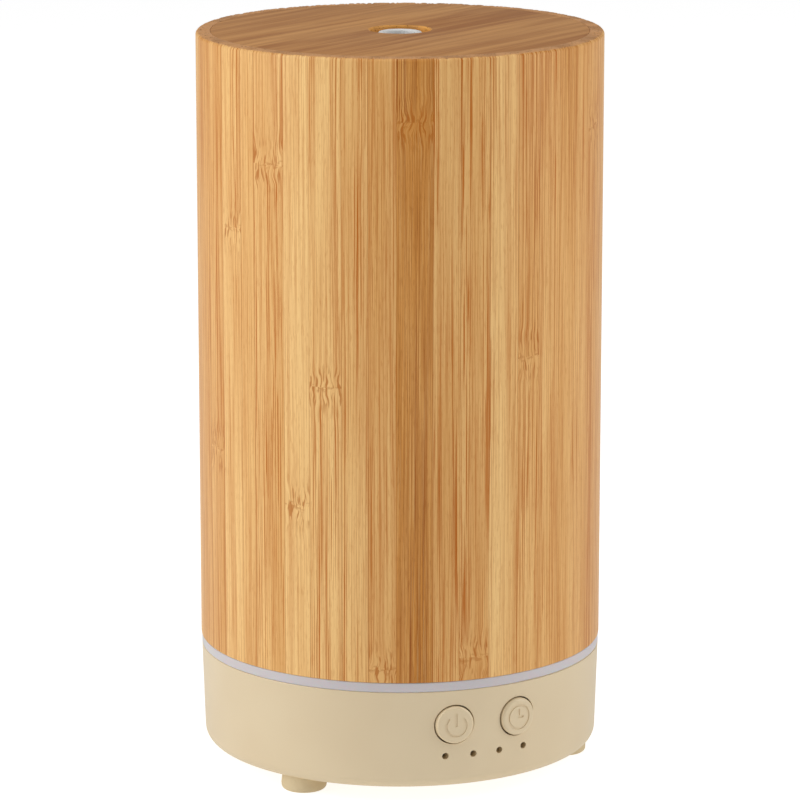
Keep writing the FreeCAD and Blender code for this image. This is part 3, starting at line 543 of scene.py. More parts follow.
class Shade:
    """A material under way: its graph, its shader and its place in millimetres."""

    def __init__(self, name: str) -> None:
        """Starts a material.

        Args:
            name: the material's name.
        """
        self.material = bpy.data.materials.new(name)
        self.material.use_nodes = True
        tree = self.material.node_tree
        tree.nodes.clear()
        self.graph = Graph(tree)
        self.shader = self.graph.add("ShaderNodeBsdfPrincipled")
        output = self.graph.add("ShaderNodeOutputMaterial")
        tree.links.new(self.shader.outputs[0], output.inputs[0])

    def place(self, turn: float = 0.0, centre: Vector | None = None) -> bpy.types.NodeSocket:
        """Gives the surface's own place in millimetres.

        Args:
            turn: degrees to turn the pattern about Z.
            centre: the point in metres that becomes the pattern's origin.

        Returns:
            The vector output.
        """
        spot = self.graph.add("ShaderNodeTexCoord").outputs["Object"]
        mapping = self.graph.add("ShaderNodeMapping", vector_type="TEXTURE")
        self.graph.feed(mapping.inputs["Vector"], spot)
        self.graph.feed(mapping.inputs["Location"], tuple(centre or (0, 0, 0)))
        self.graph.feed(mapping.inputs["Rotation"], (0, 0, math.radians(turn)))
        self.graph.feed(mapping.inputs["Scale"], (MM, MM, MM))
        return mapping.outputs[0]

    def set(self, **values: Any) -> None:
        """Sets or links the shader's own inputs by name, with spaces for underscores."""
        for name, value in values.items():
            self.graph.feed(self.shader.inputs[name.replace("_", " ")], value)

    def dress(self, look: bpy.types.Node, depth: float, strength: float = 1.0) -> bpy.types.Material:
        """Takes colour, roughness and relief from a placed group.

        Args:
            look: the group's node.
            depth: the height of the relief in metres.
            strength: how much of the relief shows.

        Returns:
            The finished material.
        """
        bump = self.graph.add("ShaderNodeBump")
        self.graph.feed(bump.inputs["Strength"], strength)
        self.graph.feed(bump.inputs["Distance"], depth)
        self.graph.feed(bump.inputs["Height"], look.outputs["Height"])
        self.set(Base_Color=look.outputs["Colour"], Roughness=look.outputs["Roughness"],
                 Normal=bump.outputs[0])
        return self.material


@dataclass(frozen=True)
class Moulded:
    """A moulded plastic or rubber.

    It has two colours that it wanders between, a roughness, a grain of so many features per millimetre
    whose relief has a depth in metres, and the strengths of its gloss, coat, milkiness and clearness.
    """
    name: str
    colour: Colour
    shade: Colour
    roughness: float = 0.5
    grain: float = 4.0
    depth: float = 0.00002
    specular: float = 0.5
    coat: float = 0.0
    milky: float = 0.0
    clear: float = 0.0

    def build(self, groups: Groups) -> bpy.types.Material:
        """Makes the material from the shared moulded surface.

        Args:
            groups: the shared node groups.

        Returns:
            The material.
        """
        shade = Shade(self.name)
        look = shade.graph.place(groups.moulded, vector=shade.place(), colour=self.colour, shade=self.shade,
                                 grain=self.grain, roughness=self.roughness)
        shade.set(Specular_IOR_Level=self.specular, Coat_Weight=self.coat, Coat_Roughness=0.25,
                  Subsurface_Weight=self.milky, Subsurface_Scale=0.002, Transmission_Weight=self.clear)
        return shade.dress(look, self.depth)


@dataclass(frozen=True)
class Metal:
    """A bare or plated metal: its colour, its tarnish and how finely it is worked."""
    name: str
    colour: Colour
    tarnish: Colour
    roughness: float = 0.3
    pitch: float = 6.0
    depth: float = 0.00001

    def build(self, groups: Groups) -> bpy.types.Material:
        """Makes the material from the shared worked metal.

        Args:
            groups: the shared node groups.

        Returns:
            The material.
        """
        shade = Shade(self.name)
        look = shade.graph.place(groups.metal, vector=shade.place(), colour=self.colour,
                                 tarnish=self.tarnish, pitch=self.pitch, roughness=self.roughness)
        shade.set(Metallic=1.0)
        return shade.dress(look, self.depth)


@dataclass(frozen=True)
class Circuit:
    """A printed circuit board: the colours of its mask and its tracks, and how high the tracks stand."""
    name: str
    mask: Colour
    track: Colour
    depth: float = 0.00005

    def build(self, groups: Groups) -> bpy.types.Material:
        """Makes the material from the shared circuit board; its pads are metal.

        Args:
            groups: the shared node groups.

        Returns:
            The material.
        """
        shade = Shade(self.name)
        look = shade.graph.place(groups.circuit, vector=shade.place(), mask=self.mask, track=self.track)
        shade.set(Metallic=look.outputs["Tin"])
        return shade.dress(look, self.depth)


@dataclass(frozen=True)
class Bamboo:
    """The bamboo of the cover, as staves, as a board and as cut ends.

    The board's grain is turned by so many degrees, the reliefs have depths in metres, and the lacquer is a
    thin coat.
    """
    grain_turn: float = 28.0
    stave_depth: float = 0.00012
    board_depth: float = 0.00008
    lacquer: float = 0.08

    def staves(self, groups: Groups) -> bpy.types.Material:
        """Makes the upright staves, which read where they are from the piece's own attributes.

        Args:
            groups: the shared node groups.

        Returns:
            The material.
        """
        shade = Shade("bamboo staves")
        spot = shade.graph.add("ShaderNodeAttribute", attribute_name="stave_place")
        left, right, around = shade.graph.split(spot.outputs["Vector"])
        kind = shade.graph.add("ShaderNodeAttribute", attribute_name="stave_kind")
        tone, phase, knot = shade.graph.split(kind.outputs["Vector"])
        look = shade.graph.place(groups.staves, left=left, right=right, around=around,
                                 along=spot.outputs["Alpha"], tone=tone, phase=phase, knot=knot,
                                 streaks=kind.outputs["Alpha"])
        shade.set(Coat_Weight=self.lacquer, Coat_Roughness=0.2, Specular_IOR_Level=0.15)
        return shade.dress(look, self.stave_depth, 0.7)

    def board(self, groups: Groups) -> bpy.types.Material:
        """Makes the top board, whose strips run aslant across the cover.

        Args:
            groups: the shared node groups.

        Returns:
            The material.
        """
        shade = Shade("bamboo board")
        look = shade.graph.place(groups.board, vector=shade.place(self.grain_turn))
        shade.set(Coat_Weight=self.lacquer, Coat_Roughness=0.35, Specular_IOR_Level=0.25)
        return shade.dress(look, self.board_depth, 0.6)

    def ends(self, groups: Groups, name: str, pale: Colour, dark: Colour,
             density: float) -> bpy.types.Material:
        """Makes cut ends.

        Args:
            groups: the shared node groups.
            name: the material's name.
            pale, dark: the colours of the ground and of the vessels.
            density: how strong the vessels are.

        Returns:
            The material.
        """
        shade = Shade(name)
        look = shade.graph.place(groups.end_grain, vector=shade.place(), pale=pale, dark=dark,
                                 density=density)
        shade.set(Specular_IOR_Level=0.3)
        return shade.dress(look, self.stave_depth, 0.6)


class Finish(Enum):
    """The finish of each of the record's material slots, apart from the bamboo."""
    CREAM = Moulded("cream plastic", srgb(228, 208, 171), srgb(223, 201, 163), 0.38, 5.0, 0.000012, 0.75)
    FOOT = Moulded("cream rubber", srgb(225, 205, 166), srgb(216, 196, 156), 0.62, 3.0, 0.00003, 0.3)
    WHITE = Moulded("white plastic", srgb(232, 232, 230), srgb(222, 222, 222), 0.4, 4.0, 0.00001)
    TANK = Moulded("milky tank plastic", srgb(240, 241, 242), srgb(232, 233, 236), 0.30, 2.0, 0.000006,
                   0.5, 0.0, 0.0, 0.45)
    RING = Moulded("frosted light ring", srgb(211, 204, 206), srgb(203, 196, 199), 0.40, 4.0, 0.00001,
                   0.45, 0.0, 0.25)
    BLACK = Moulded("black plastic", srgb(34, 34, 36), srgb(46, 46, 48), 0.45, 5.0, 0.00003)
    SEAL = Moulded("silicone seal", srgb(214, 214, 210), srgb(200, 200, 196), 0.5, 3.0, 0.00002,
                   0.4, 0.0, 0.2)
    FOAM = Moulded("gasket foam", srgb(44, 44, 47), srgb(20, 20, 22), 0.9, 2.2, 0.0003, 0.15)
    MAGNET = Moulded("bonded magnet", srgb(66, 62, 60), srgb(50, 48, 47), 0.6, 6.0, 0.00003)
    CERAMIC = Moulded("silvered ceramic", srgb(212, 208, 196), srgb(186, 182, 170), 0.35, 6.0, 0.00002)
    LAMP = Moulded("clear lamp resin", srgb(240, 240, 228), srgb(228, 228, 214), 0.12, 1.0, 0.000004,
                   0.5, 0.3, 0.0, 0.6)
    SLEEVE = Moulded("capacitor sleeve", srgb(28, 32, 52), srgb(38, 42, 66), 0.3, 1.5, 0.00001, 0.5, 0.3)
    NYLON = Moulded("connector nylon", srgb(234, 228, 208), srgb(222, 214, 192), 0.38, 3.0, 0.00001)
    LEAD = Moulded("red lead sleeve", srgb(178, 36, 30), srgb(150, 28, 24), 0.45, 4.0, 0.00002)
    WHITE_LEAD = Moulded("white lead sleeve", srgb(226, 224, 216), srgb(206, 204, 196), 0.45, 4.0, 0.00002)
    BLUE_LEAD = Moulded("blue lead sleeve", srgb(36, 74, 150), srgb(28, 58, 122), 0.45, 4.0, 0.00002)
    BOARD = Circuit("green circuit board", srgb(22, 88, 50), srgb(42, 116, 62))
    STEEL = Metal("zinc-plated screws", srgb(196, 198, 202), srgb(142, 144, 150), 0.3, 8.0)
    STAINLESS = Metal("stainless steel", srgb(214, 214, 212), srgb(178, 178, 176), 0.22, 3.0)
    COPPER = Metal("enamelled copper", srgb(204, 112, 58), srgb(142, 66, 30), 0.28, 5.0)
    FERRITE = Moulded("ferrite drum", srgb(52, 50, 50), srgb(70, 66, 64), 0.55, 4.0, 0.00006)
    BRASS = Metal("nickelled brass", srgb(210, 196, 156), srgb(160, 142, 100), 0.25, 6.0)
    ALUMINIUM = Metal("extruded aluminium", srgb(206, 208, 212), srgb(168, 170, 176), 0.35, 10.0, 0.00003)


SLOT_FINISHES: dict[str, Finish] = {
    "liner_plastic": Finish.WHITE, "cream_plastic": Finish.CREAM, "foot_rubber": Finish.FOOT,
    "tank_plastic": Finish.TANK, "ring_plastic": Finish.RING,
    "screw_steel": Finish.STEEL, "disc_steel": Finish.STAINLESS,
    "ceramic": Finish.CERAMIC, "seal_rubber": Finish.SEAL, "foam": Finish.FOAM,
    "black_plastic": Finish.BLACK, "magnet": Finish.MAGNET, "coil_copper": Finish.FERRITE,
    "board_green": Finish.BOARD, "lamp_clear": Finish.LAMP, "pin_brass": Finish.BRASS,
    "capacitor_sleeve": Finish.SLEEVE, "sink_aluminium": Finish.ALUMINIUM,
    "connector_white": Finish.NYLON, "lead_sleeve": Finish.LEAD,
}
NODE_FINISHES: dict[str, Finish] = {
    "disc_leads": Finish.WHITE_LEAD, "light_leads": Finish.BLUE_LEAD, "fan_stator": Finish.STAINLESS,
}


# ---- surfaces -------------------------------------------------------------------------------------------
def rounded_outline(corners: Sequence[tuple[float, float, float]], steps: int = 6) -> np.ndarray:
    """Rounds the corners of a closed outline.

    Each corner with a radius becomes an arc of a circle that touches both of its sides: the arc's centre
    lies on the corner's bisector, at the radius over the sine of the half angle.

    Args:
        corners: (radius from the axis, level, rounding) for each corner, in metres, anticlockwise.
        steps: how many pieces an arc has.

    Returns:
        The outline's points, (n, 2).
    """
    points = np.array([c[:2] for c in corners])
    before, after = np.roll(points, 1, axis=0) - points, np.roll(points, -1, axis=0) - points
    before /= np.linalg.norm(before, axis=1, keepdims=True)
    after /= np.linalg.norm(after, axis=1, keepdims=True)
    made = []
    for (x, y, radius), back, ahead in zip(corners, before, after):
        if not radius:
            made.append(np.array([[x, y]]))
            continue
        half = math.acos(float(np.clip(back @ ahead, -1, 1))) / 2
        run = radius / math.tan(half)
        middle = (back + ahead) / np.linalg.norm(back + ahead)
        centre = np.array([x, y]) + middle * radius / math.sin(half)
        start, end = np.array([x, y]) + back * run - centre, np.array([x, y]) + ahead * run - centre
        first = math.atan2(start[1], start[0])
        turn = (math.atan2(end[1], end[0]) - first + math.pi) % (2 * math.pi) - math.pi
        angle = first + turn * np.linspace(0, 1, steps + 1)
        made.append(centre + radius * np.stack([np.cos(angle), np.sin(angle)], 1))
    return np.concatenate(made)


def lathe(outline: np.ndarray, azimuths: np.ndarray) -> np.ndarray:
    """Turns an outline about Z: a point (r, z) at azimuth a lies at (r sin a, -r cos a, z).

    Args:
        outline: (rows, 2) radii and levels.
        azimuths: (columns,) azimuths from the front, in radians.

    Returns:
        The grid's points, (columns, rows, 3).
    """
    radius, level = outline[:, 0], outline[:, 1]
    x = np.sin(azimuths)[:, None] * radius[None, :]
    y = -np.cos(azimuths)[:, None] * radius[None, :]
    return np.stack([x, y, np.broadcast_to(level, x.shape)], 2)


def tube(path: np.ndarray, radius: float, sides: int = 8) -> np.ndarray:
    """Carries a circle along a path.

    The circle at a path point lies in the plane of the upright direction and the side direction, which is
    the cross product of the path's direction and the upright one.

    Args:
        path: (n, 3) points, in metres, none of them heading straight up.
        radius: the circle's radius.
        sides: how many sides the circle has.

    Returns:
        The grid's points, (n, sides, 3).
    """
    ahead = np.gradient(path, axis=0)
    ahead /= np.linalg.norm(ahead, axis=1, keepdims=True)
    side = np.cross(ahead, np.array([0.0, 0.0, 1.0]))
    side /= np.linalg.norm(side, axis=1, keepdims=True)
    up = np.cross(side, ahead)
    angle = np.linspace(0, 2 * math.pi, sides, endpoint=False)
    ring = np.cos(angle)[None, :, None] * side[:, None, :] + np.sin(angle)[None, :, None] * up[:, None, :]
    return path[:, None, :] + radius * ring


class Surface:
    """A grid of points made into a mesh object, with numbers on its faces' corners."""

    def __init__(self, name: str, points: np.ndarray, wrap_columns: bool = True) -> None:
        """Makes the mesh; its rows always close on themselves.

        Args:
            name: the object's name.
            points: (columns, rows, 3), in metres.
            wrap_columns: True if the last column joins the first, False to close both ends with a face.
        """
        columns, rows = points.shape[:2]
        cells = columns if wrap_columns else columns - 1
        i, j = np.meshgrid(np.arange(cells), np.arange(rows), indexing="ij")
        ahead, above = (i + 1) % columns, (j + 1) % rows
        corners = [(i, j), (ahead, j), (ahead, above), (i, above)]
        faces = np.stack([a * rows + b for a, b in corners], 2).reshape(-1, 4).tolist()
        if not wrap_columns:
            last = (columns - 1) * rows
            faces += [list(range(rows)), list(range(last + rows - 1, last - 1, -1))]
        self.rows = rows
        self.cells = cells
        self.mesh = bpy.data.meshes.new(name)
        self.mesh.from_pydata(points.reshape(-1, 3).tolist(), [], faces)
        self.mesh.validate()
        self.mesh.shade_smooth()
        self.mesh.set_sharp_from_angle(angle=math.radians(40))
        self.item = bpy.data.objects.new(name, self.mesh)
        bpy.context.scene.collection.objects.link(self.item)

    def carry(self, name: str, values: np.ndarray) -> None:
        """Stores four numbers on each face corner.

        Args:
            name: the attribute's name.
            values: (cells, rows, 4 corners, 4 numbers).
        """
        attribute = self.mesh.attributes.new(name, "FLOAT_COLOR", "CORNER")
        attribute.data.foreach_set("color", values.astype(np.float32).ravel())

    def cover(self, materials: Sequence[bpy.types.Material], row_slots: Sequence[int]) -> None:
        """Gives the piece its materials.

        Args:
            materials: the materials in slot order.
            row_slots: each row's slot.
        """
        for material in materials:
            self.mesh.materials.append(material)
        slots = np.tile(np.array(row_slots, dtype=np.int32), self.cells)
        self.mesh.polygons.foreach_set("material_index", slots)


# ---- bamboo cover ---------------------------------------------------------------------------------------
@dataclass
class BambooCover:
    """The cover's sleeve of staves and the board let into its top.

    The staves at the front are listed one by one: front_joints are the azimuths of their joints, in degrees
    from the front, and each stave between two joints has a tone, from pale to dark, and a share of dark
    streaks. front_knots are (azimuth in degrees, height in millimetres). The other staves are drawn at
    random: knot_share of them have a knot, at least knot_margin millimetres from both ends, and a stave
    whose knot lies at no_knot shows none.
    """
    groups: Groups
    stave_width: float = 6.2 * MM
    columns_per_stave: int = 16
    edge_round: float = 0.8 * MM
    foot_round: float = 0.3 * MM
    roughness_of_cut: float = 0.05 * MM
    deepest_chip: float = 0.22 * MM
    joint_chamfer: float = 0.12 * MM
    glue_gap: float = 0.05 * MM
    board_drop: float = 0.03 * MM
    worn_round: float = 0.45 * MM
    nozzle_radius: float = 4.5 * MM
    nozzle_gap: float = 1.75 * MM
    knot_share: float = 0.6
    knot_margin: float = 4.0
    front_joints: tuple[float, ...] = (-112.0, -103.0, -93.0, -84.0, -75.0, -69.5, -59.0, -51.0, -41.5,
                                       -34.0, -26.3, -16.2, -8.6, 0.0, 9.0, 16.5, 24.5, 33.0, 40.0,
                                       49.0, 57.0, 65.0)
    front_tones: tuple[float, ...] = (0.30, 0.46, 0.42, 0.16, 0.20, 0.28, 0.04, 0.10, 0.26,
                                      0.40, 0.90, 0.36, 0.32, 0.16, 0.34, 0.40, 0.50,
                                      0.40, 0.50, 0.36, 0.30)
    front_streaks: tuple[float, ...] = (0.4, 0.5, 0.6, 0.7, 0.6, 0.9, 0.1, 0.7,
                                        0.7, 0.5, 0.75, 0.9, 1.0, 0.6, 0.8, 1.0, 0.7,
                                        0.5, 0.6, 0.7, 0.6)
    front_knots: tuple[tuple[float, float], ...] = ((-88.0, 70.0), (-79.0, 117.0), (-64.0, 131.0),
                                                    (-54.0, 62.0), (-47.0, 87.0), (-22.0, 141.0),
                                                    (-31.0, 29.0), (-4.8, 31.0), (12.0, 92.0),
                                                    (44.0, 136.0))
    no_knot: float = -60.0
    seed: int = 11
    bamboo: Bamboo = field(default_factory=Bamboo)

    def __post_init__(self) -> None:
        """Reads the sleeve's and the board's sizes from the model and settles the staves."""
        low, high = (np.array(c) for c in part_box("bamboo_sleeve"))
        self.low, self.high = float(low[2]), float(high[2])
        self.radius = float(min(high[0], high[1], -low[0], -low[1]))
        board_low, board_high = (np.array(c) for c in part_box("bamboo_top_disc"))
        self.board_radius, self.board_low = float(board_high[0]), float(board_low[2])
        self.wall = self.radius - self.board_radius - self.glue_gap
        self.hole_radius = self.nozzle_radius + self.nozzle_gap
        self.choose_staves()

    def choose_staves(self) -> None:
        """Sets the staves' joints, tones, phases and knots, as listed at the front and by chance behind."""
        chance = np.random.default_rng(self.seed)
        first, last = self.front_joints[0], self.front_joints[-1]
        rest = math.radians(360 - (last - first))
        count = round(rest * self.radius / self.stave_width)
        widths = chance.uniform(0.75, 1.3, count)
        behind = last + np.degrees(np.cumsum(widths / widths.sum()) * rest)
        self.joints = np.radians(np.concatenate([self.front_joints, behind]))
        staves = len(self.joints) - 1
        front = len(self.front_tones)
        self.tones = np.concatenate([self.front_tones, chance.uniform(0.08, 0.55, staves - front)])
        self.phases = chance.uniform(0, 1, staves)
        self.streaks = chance.uniform(0.15, 0.95, staves)
        self.streaks[:front] = self.front_streaks
        height = (self.high - self.low) / MM
        knotted = chance.uniform(0, 1, staves) < self.knot_share
        levels = chance.uniform(self.knot_margin, height - self.knot_margin, staves)
        self.knots = np.where(knotted, levels, self.no_knot)
        self.knots[:front] = self.no_knot
        for azimuth, level in self.front_knots:
            stave = int(np.searchsorted(self.joints, math.radians(azimuth)) - 1)
            self.knots[stave] = level - self.low / MM

    def sleeve(self) -> bpy.types.Object:
        """Builds the sleeve: a rounded outline turned about the axis.

        The columns lie at (r sin a, -r cos a), with a going evenly from joint to joint.

        Returns:
            The sleeve's object.
        """
        share = np.linspace(0, 1, self.columns_per_stave, endpoint=False)
        widths = np.diff(self.joints)
        azimuths = (self.joints[:-1, None] + widths[:, None] * share[None, :]).ravel()
        inner = self.radius - self.wall
        outline = rounded_outline([(self.radius, self.low, self.foot_round),
                                   (self.radius, self.high, self.edge_round),
                                   (inner, self.high, self.joint_chamfer), (inner, self.low, 0.0)])
        made = Surface("bamboo_staves", self.roughen(lathe(outline, azimuths), azimuths))
        self.mark_staves(made, azimuths, widths, outline)
        middle = (outline[:, 0] + np.roll(outline[:, 0], -1)) / 2
        cut = (middle < self.radius - 0.6 * self.edge_round) & (outline[:, 1] > self.high - self.edge_round)
        under = (outline[:, 1] < self.low + 0.1 * MM) & (middle < self.radius - self.foot_round)
        slots = np.where(cut | under, 1, 0)
        rim = self.bamboo.ends(self.groups, "bamboo cut ends", srgb(214, 158, 104), srgb(112, 64, 24), 0.9)
        made.cover([self.bamboo.staves(self.groups), rim], slots)
        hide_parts("bamboo_sleeve")
        return made.item

    def roughen(self, points: np.ndarray, azimuths: np.ndarray) -> np.ndarray:
        """Chips the cut top edge.

        Each column of the rounded edge drops by the cube of a random share of the deepest chip, and a slow
        wave of two sines whose periods don't match is added.

        Args:
            points: the sleeve's grid, (columns, rows, 3).
            azimuths: each column's azimuth, in radians.

        Returns:
            The chipped grid.
        """
        chance = np.random.default_rng(self.seed + 1)
        chips = chance.uniform(0, 1, len(azimuths)) ** 3 * self.deepest_chip
        wave = (2 + np.sin(azimuths * 23) + np.sin(azimuths * 57 + 1.3)) / 4 * self.roughness_of_cut
        near_top = np.clip((points[..., 2] - (self.high - self.edge_round)) / self.edge_round, 0, 1)
        outside = np.hypot(points[..., 0], points[..., 1]) > self.radius - self.edge_round - 0.1 * MM
        points = points.copy()
        points[..., 2] -= near_top * outside * (chips + wave)[:, None]
        return points

    def mark_staves(self, made: Surface, azimuths: np.ndarray, widths: np.ndarray,
                    outline: np.ndarray) -> None:
        """Stores on each face corner its distances to the stave's joints, its place and the stave's kind.

        Args:
            made: the sleeve.
            azimuths: each column's azimuth, in radians.
            widths: each stave's width, in radians.
            outline: (rows, 2) radii and levels.
        """
        stave = np.repeat(np.arange(len(widths)), self.columns_per_stave)
        start, end = self.joints[stave], self.joints[stave + 1]
        ahead = np.append(azimuths[1:], self.joints[-1])
        radius = self.radius / MM
        here, there = azimuths, ahead
        left = np.stack([here - start, there - start, there - start, here - start], 1) * radius
        right = np.stack([end - here, end - there, end - there, end - here], 1) * radius
        around = np.stack([here, there, there, here], 1) * radius
        level = (outline[:, 1] - self.low) / MM
        above = np.roll(level, -1)
        along = np.stack([level, level, above, above], 1)
        shape = (made.cells, made.rows, 4)
        spread = [np.broadcast_to(item[:, None, :], shape) for item in (left, right, around)]
        place = np.stack([*spread, np.broadcast_to(along[None, :, :], shape)], 3)
        kinds = np.stack([self.tones, self.phases, self.knots, self.streaks], 1)[stave]
        made.carry("stave_place", place)
        made.carry("stave_kind", np.broadcast_to(kinds[:, None, None, :], (*shape, 4)))

    def board(self) -> bpy.types.Object:
        """Builds the top board: an outline with a worn hole edge and a chamfered rim, turned about Z.

        Returns:
            The board's object.
        """
        top = self.high - self.board_drop
        outline = rounded_outline([(self.hole_radius, self.board_low, 0.0),
                                   (self.board_radius, self.board_low, 0.0),
                                   (self.board_radius, top, self.joint_chamfer),
                                   (self.hole_radius, top, self.worn_round)])
        made = Surface("bamboo_board", lathe(outline, np.radians(np.arange(0, 360, 2.0))))
        middle = (outline[:, 0] + np.roll(outline[:, 0], -1)) / 2
        hole = middle < self.hole_radius + 0.3 * MM
        # Painted light: the mist hole wall's end-grain colours are paler than the rim's, standing in for
        # light falling into the hole.
        cut = self.bamboo.ends(self.groups, "mist hole wall with painted light", srgb(236, 170, 84), srgb(116, 62, 18), 1.0)
        made.cover([self.bamboo.board(self.groups), cut], np.where(hole, 1, 0))
        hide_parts("bamboo_top_disc")
        return made.item

    def build(self) -> list[bpy.types.Object]:
        """Builds both pieces; they ride on the cover.

        Returns:
            The pieces.
        """
        pieces = [self.sleeve(), self.board()]
        for piece, slot in zip(pieces, ("bamboo_side", "bamboo_top")):
            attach(piece, "cover")
        return pieces


# ---- windings -------------------------------------------------------------------------------------------
@dataclass
class Windings:
    """The copper wire wound on the drum coil: its radius, its turns, and the drum's rim and core."""
    copper: bpy.types.Material
    wire: float = 0.22 * MM
    drum_turns: int = 15
    drum_rim: float = 1.5 * MM
    drum_core: float = 3.9 * MM
    points_per_turn: int = 28

    def helix(self, name: str, centre: Vector, radius: float, low: float, high: float,
              turns: int) -> bpy.types.Object:
        """Winds one layer: the path is centre + radius (cos t, sin t), rising evenly from low to high.

        Args:
            name: the object's name.
            centre: the drum's centre.
            radius: the path's radius.
            low, high: the levels of the two ends.
            turns: how often it goes round.

        Returns:
            The winding's object.
        """
        t = np.linspace(0, 2 * math.pi * turns, turns * self.points_per_turn)
        path = np.stack([centre.x + radius * np.cos(t), centre.y + radius * np.sin(t),
                         np.linspace(low, high, len(t))], 1)
        made = Surface(name, tube(path, self.wire), wrap_columns=False)
        made.mesh.materials.append(self.copper)
        return made.item

    def build(self) -> list[bpy.types.Object]:
        """Winds the drum; the winding rides on the base.

        Returns:
            The winding, in a list.
        """
        low, high = (Vector(c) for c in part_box("driver_inductor"))
        centre = (low + high) / 2
        piece = self.helix("drum_winding", centre, self.drum_core + self.wire, low.z + self.drum_rim,
                           high.z - self.drum_rim, self.drum_turns)
        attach(piece, "base")
        return [piece]


# ---- carried-over pieces --------------------------------------------------------------------------------
@dataclass
class CarriedParts:
    """The pieces whose shapes come from the model and which only need their finish."""
    frame: dict[str, Any]
    groups: Groups
    made: dict[Finish, bpy.types.Material] = field(default_factory=dict)

    def material(self, finish: Finish) -> bpy.types.Material:
        """Gives a finish's material, built on first use.

        Args:
            finish: the finish.

        Returns:
            Its material.
        """
        if finish not in self.made:
            self.made[finish] = finish.value.build(self.groups)
        return self.made[finish]

    def build(self) -> list[str]:
        """Finishes every carried-over node.

        Returns:
            The names of the finished nodes.
        """
        slots = {part["node"]: part["material_slot"] for part in self.frame["record"]["subparts"]}
        done = []
        for name, item in self.frame["nodes"].items():
            finish = NODE_FINISHES.get(name) or SLOT_FINISHES.get(slots[name])
            if finish is None:
                continue
            for slot in item.material_slots:
                slot.material = self.material(finish)
            done.append(name)
        return done


# ---- studio ---------------------------------------------------------------------------------------------
@dataclass(frozen=True)
class SoftBox:
    """A rectangular light that faces the object.

    It stands at an azimuth and an elevation in degrees and at a distance in metres from the object's
    middle, and has a width and a height in metres and a power in watts.
    """
    name: str
    azimuth: float
    elevation: float
    distance: float
    width: float
    height: float
    power: float


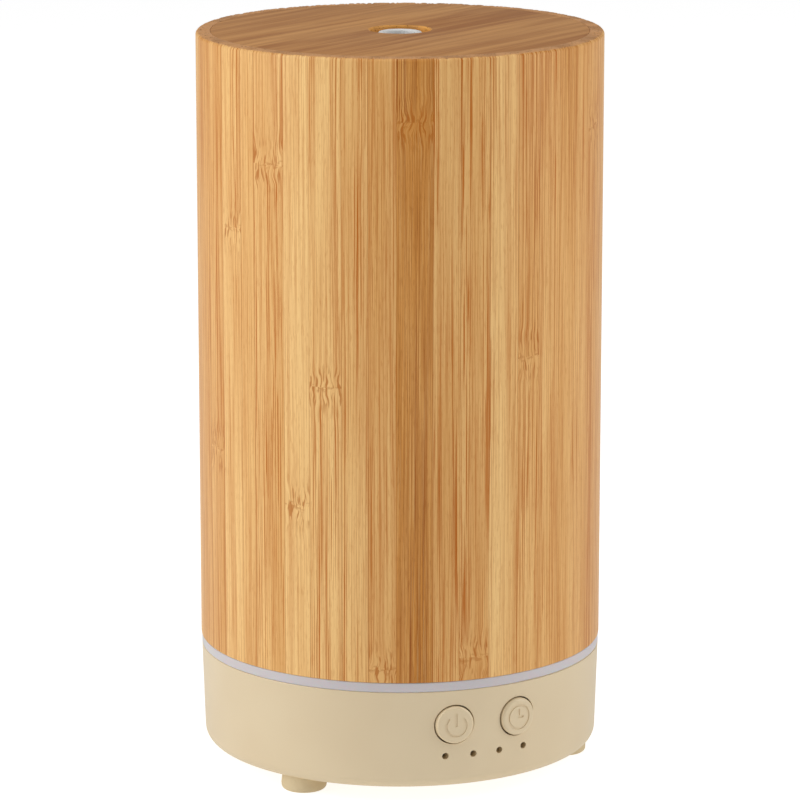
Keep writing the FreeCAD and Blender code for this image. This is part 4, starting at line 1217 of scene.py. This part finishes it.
@dataclass
class Studio:
    """The camera, the floor and the lights.

    The camera stands at an azimuth in degrees from the front, at a distance from the axis and a height in
    metres, and looks down by the pitch in degrees. floor_glow is the floor's own light on the object and
    floor_white what the camera sees of it, and world_light is the light of the surroundings.
    """
    azimuth: float = -25.3
    camera_distance: float = 0.900
    camera_height: float = 0.2789
    pitch: float = 12.73
    lens: float = 198.4
    floor_glow: float = 0.40
    floor_white: float = 0.78
    floor_size: float = 12.0
    world_light: float = 0.28
    boxes: tuple[SoftBox, ...] = (
        SoftBox("key", -98.0, 30.0, 0.75, 0.42, 0.85, 3.3),
        SoftBox("fill", 56.0, 20.0, 0.85, 0.40, 0.70, 2.3),
        SoftBox("top", 0.0, 72.0, 1.20, 0.80, 0.60, 2.9),
    )

    def camera(self) -> None:
        """Sets the camera at its azimuth, looking down by the pitch towards the axis."""
        data = bpy.data.cameras.new("camera")
        data.sensor_width, data.lens = 36.0, self.lens
        data.clip_start, data.clip_end = 0.05, 20.0
        item = bpy.data.objects.new("camera", data)
        a, p = math.radians(self.azimuth), math.radians(self.pitch)
        item.location = (self.camera_distance * math.sin(a), -self.camera_distance * math.cos(a),
                         self.camera_height)
        gaze = Vector((-math.sin(a) * math.cos(p), math.cos(a) * math.cos(p), -math.sin(p)))
        item.rotation_euler = gaze.to_track_quat("-Z", "Y").to_euler()
        bpy.context.scene.collection.objects.link(item)
        bpy.context.scene.camera = item

    def floor(self) -> None:
        """Lays a wide pale floor, which is clear from below so that the underside can be seen."""
        size = self.floor_size
        mesh = bpy.data.meshes.new("floor")
        corners = [(-size, -size, 0), (size, -size, 0), (size, size, 0), (-size, size, 0)]
        mesh.from_pydata(corners, [], [(0, 1, 2, 3)])
        item = bpy.data.objects.new("floor", mesh)
        shade = Shade("pale floor")
        seen = shade.graph.add("ShaderNodeLightPath").outputs["Is Camera Ray"]
        shade.set(Base_Color=(0.60, 0.60, 0.60), Roughness=0.9, Specular_IOR_Level=0.1,
                  Emission_Color=(1.0, 1.0, 1.0),
                  Emission_Strength=shade.graph.step(seen, 0.0, 1.0, self.floor_glow, self.floor_white))
        under = shade.graph.add("ShaderNodeNewGeometry").outputs["Backfacing"]
        shade.set(Alpha=shade.graph.step(under, 0.0, 1.0, 1.0, 0.0))
        mesh.materials.append(shade.material)
        bpy.context.scene.collection.objects.link(item)
        item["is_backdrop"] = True

    def light(self, box: SoftBox, target: Vector) -> None:
        """Hangs a soft box so that it faces the object.

        Args:
            box: the soft box.
            target: the point it faces.
        """
        data = bpy.data.lights.new(box.name, "AREA")
        data.shape, data.size, data.size_y = "RECTANGLE", box.width, box.height
        data.energy = box.power
        item = bpy.data.objects.new(box.name, data)
        a, e = math.radians(box.azimuth), math.radians(box.elevation)
        back = Vector((math.sin(a) * math.cos(e), -math.cos(a) * math.cos(e), math.sin(e)))
        item.location = target + back * box.distance
        item.rotation_euler = (-back).to_track_quat("-Z", "Y").to_euler()
        bpy.context.scene.collection.objects.link(item)

    def surroundings(self) -> None:
        """Surrounds the scene with white that is dimmer as a light than it looks."""
        world = bpy.data.worlds.new("studio")
        world.use_nodes = True
        tree = world.node_tree
        tree.nodes.clear()
        g = Graph(tree)
        seen, lit = g.add("ShaderNodeBackground"), g.add("ShaderNodeBackground")
        g.feed(seen.inputs["Strength"], 1.0)
        g.feed(lit.inputs["Strength"], self.world_light)
        g.feed(seen.inputs["Color"], (1.0, 1.0, 1.0))
        g.feed(lit.inputs["Color"], (1.0, 1.0, 1.0))
        mixed = g.add("ShaderNodeMixShader")
        g.feed(mixed.inputs[0], g.add("ShaderNodeLightPath").outputs["Is Camera Ray"])
        tree.links.new(lit.outputs[0], mixed.inputs[1])
        tree.links.new(seen.outputs[0], mixed.inputs[2])
        tree.links.new(mixed.outputs[0], g.add("ShaderNodeOutputWorld").inputs[0])
        bpy.context.scene.world = world

    def build(self) -> None:
        """Sets everything up."""
        self.camera()
        self.floor()
        low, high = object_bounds()
        for box in self.boxes:
            self.light(box, (Vector(low) + Vector(high)) / 2)
        self.surroundings()
        bpy.context.scene.view_settings.view_transform = "Standard"


def main() -> None:
    """Builds the visual model on the loaded frame."""
    groups = Groups()
    Studio().build()
    for piece in BambooCover(groups).build():
        LOG.info("built %s", piece.name)
    carried = CarriedParts(frame, groups)
    for name in carried.build():
        LOG.info("finished %s", name)
    for piece in Windings(carried.material(Finish.COPPER)).build():
        LOG.info("built %s", piece.name)
    bpy.context.view_layer.update()


if __name__ == "__main__":
    logging.basicConfig(level=logging.INFO, format="%(message)s")
    main()
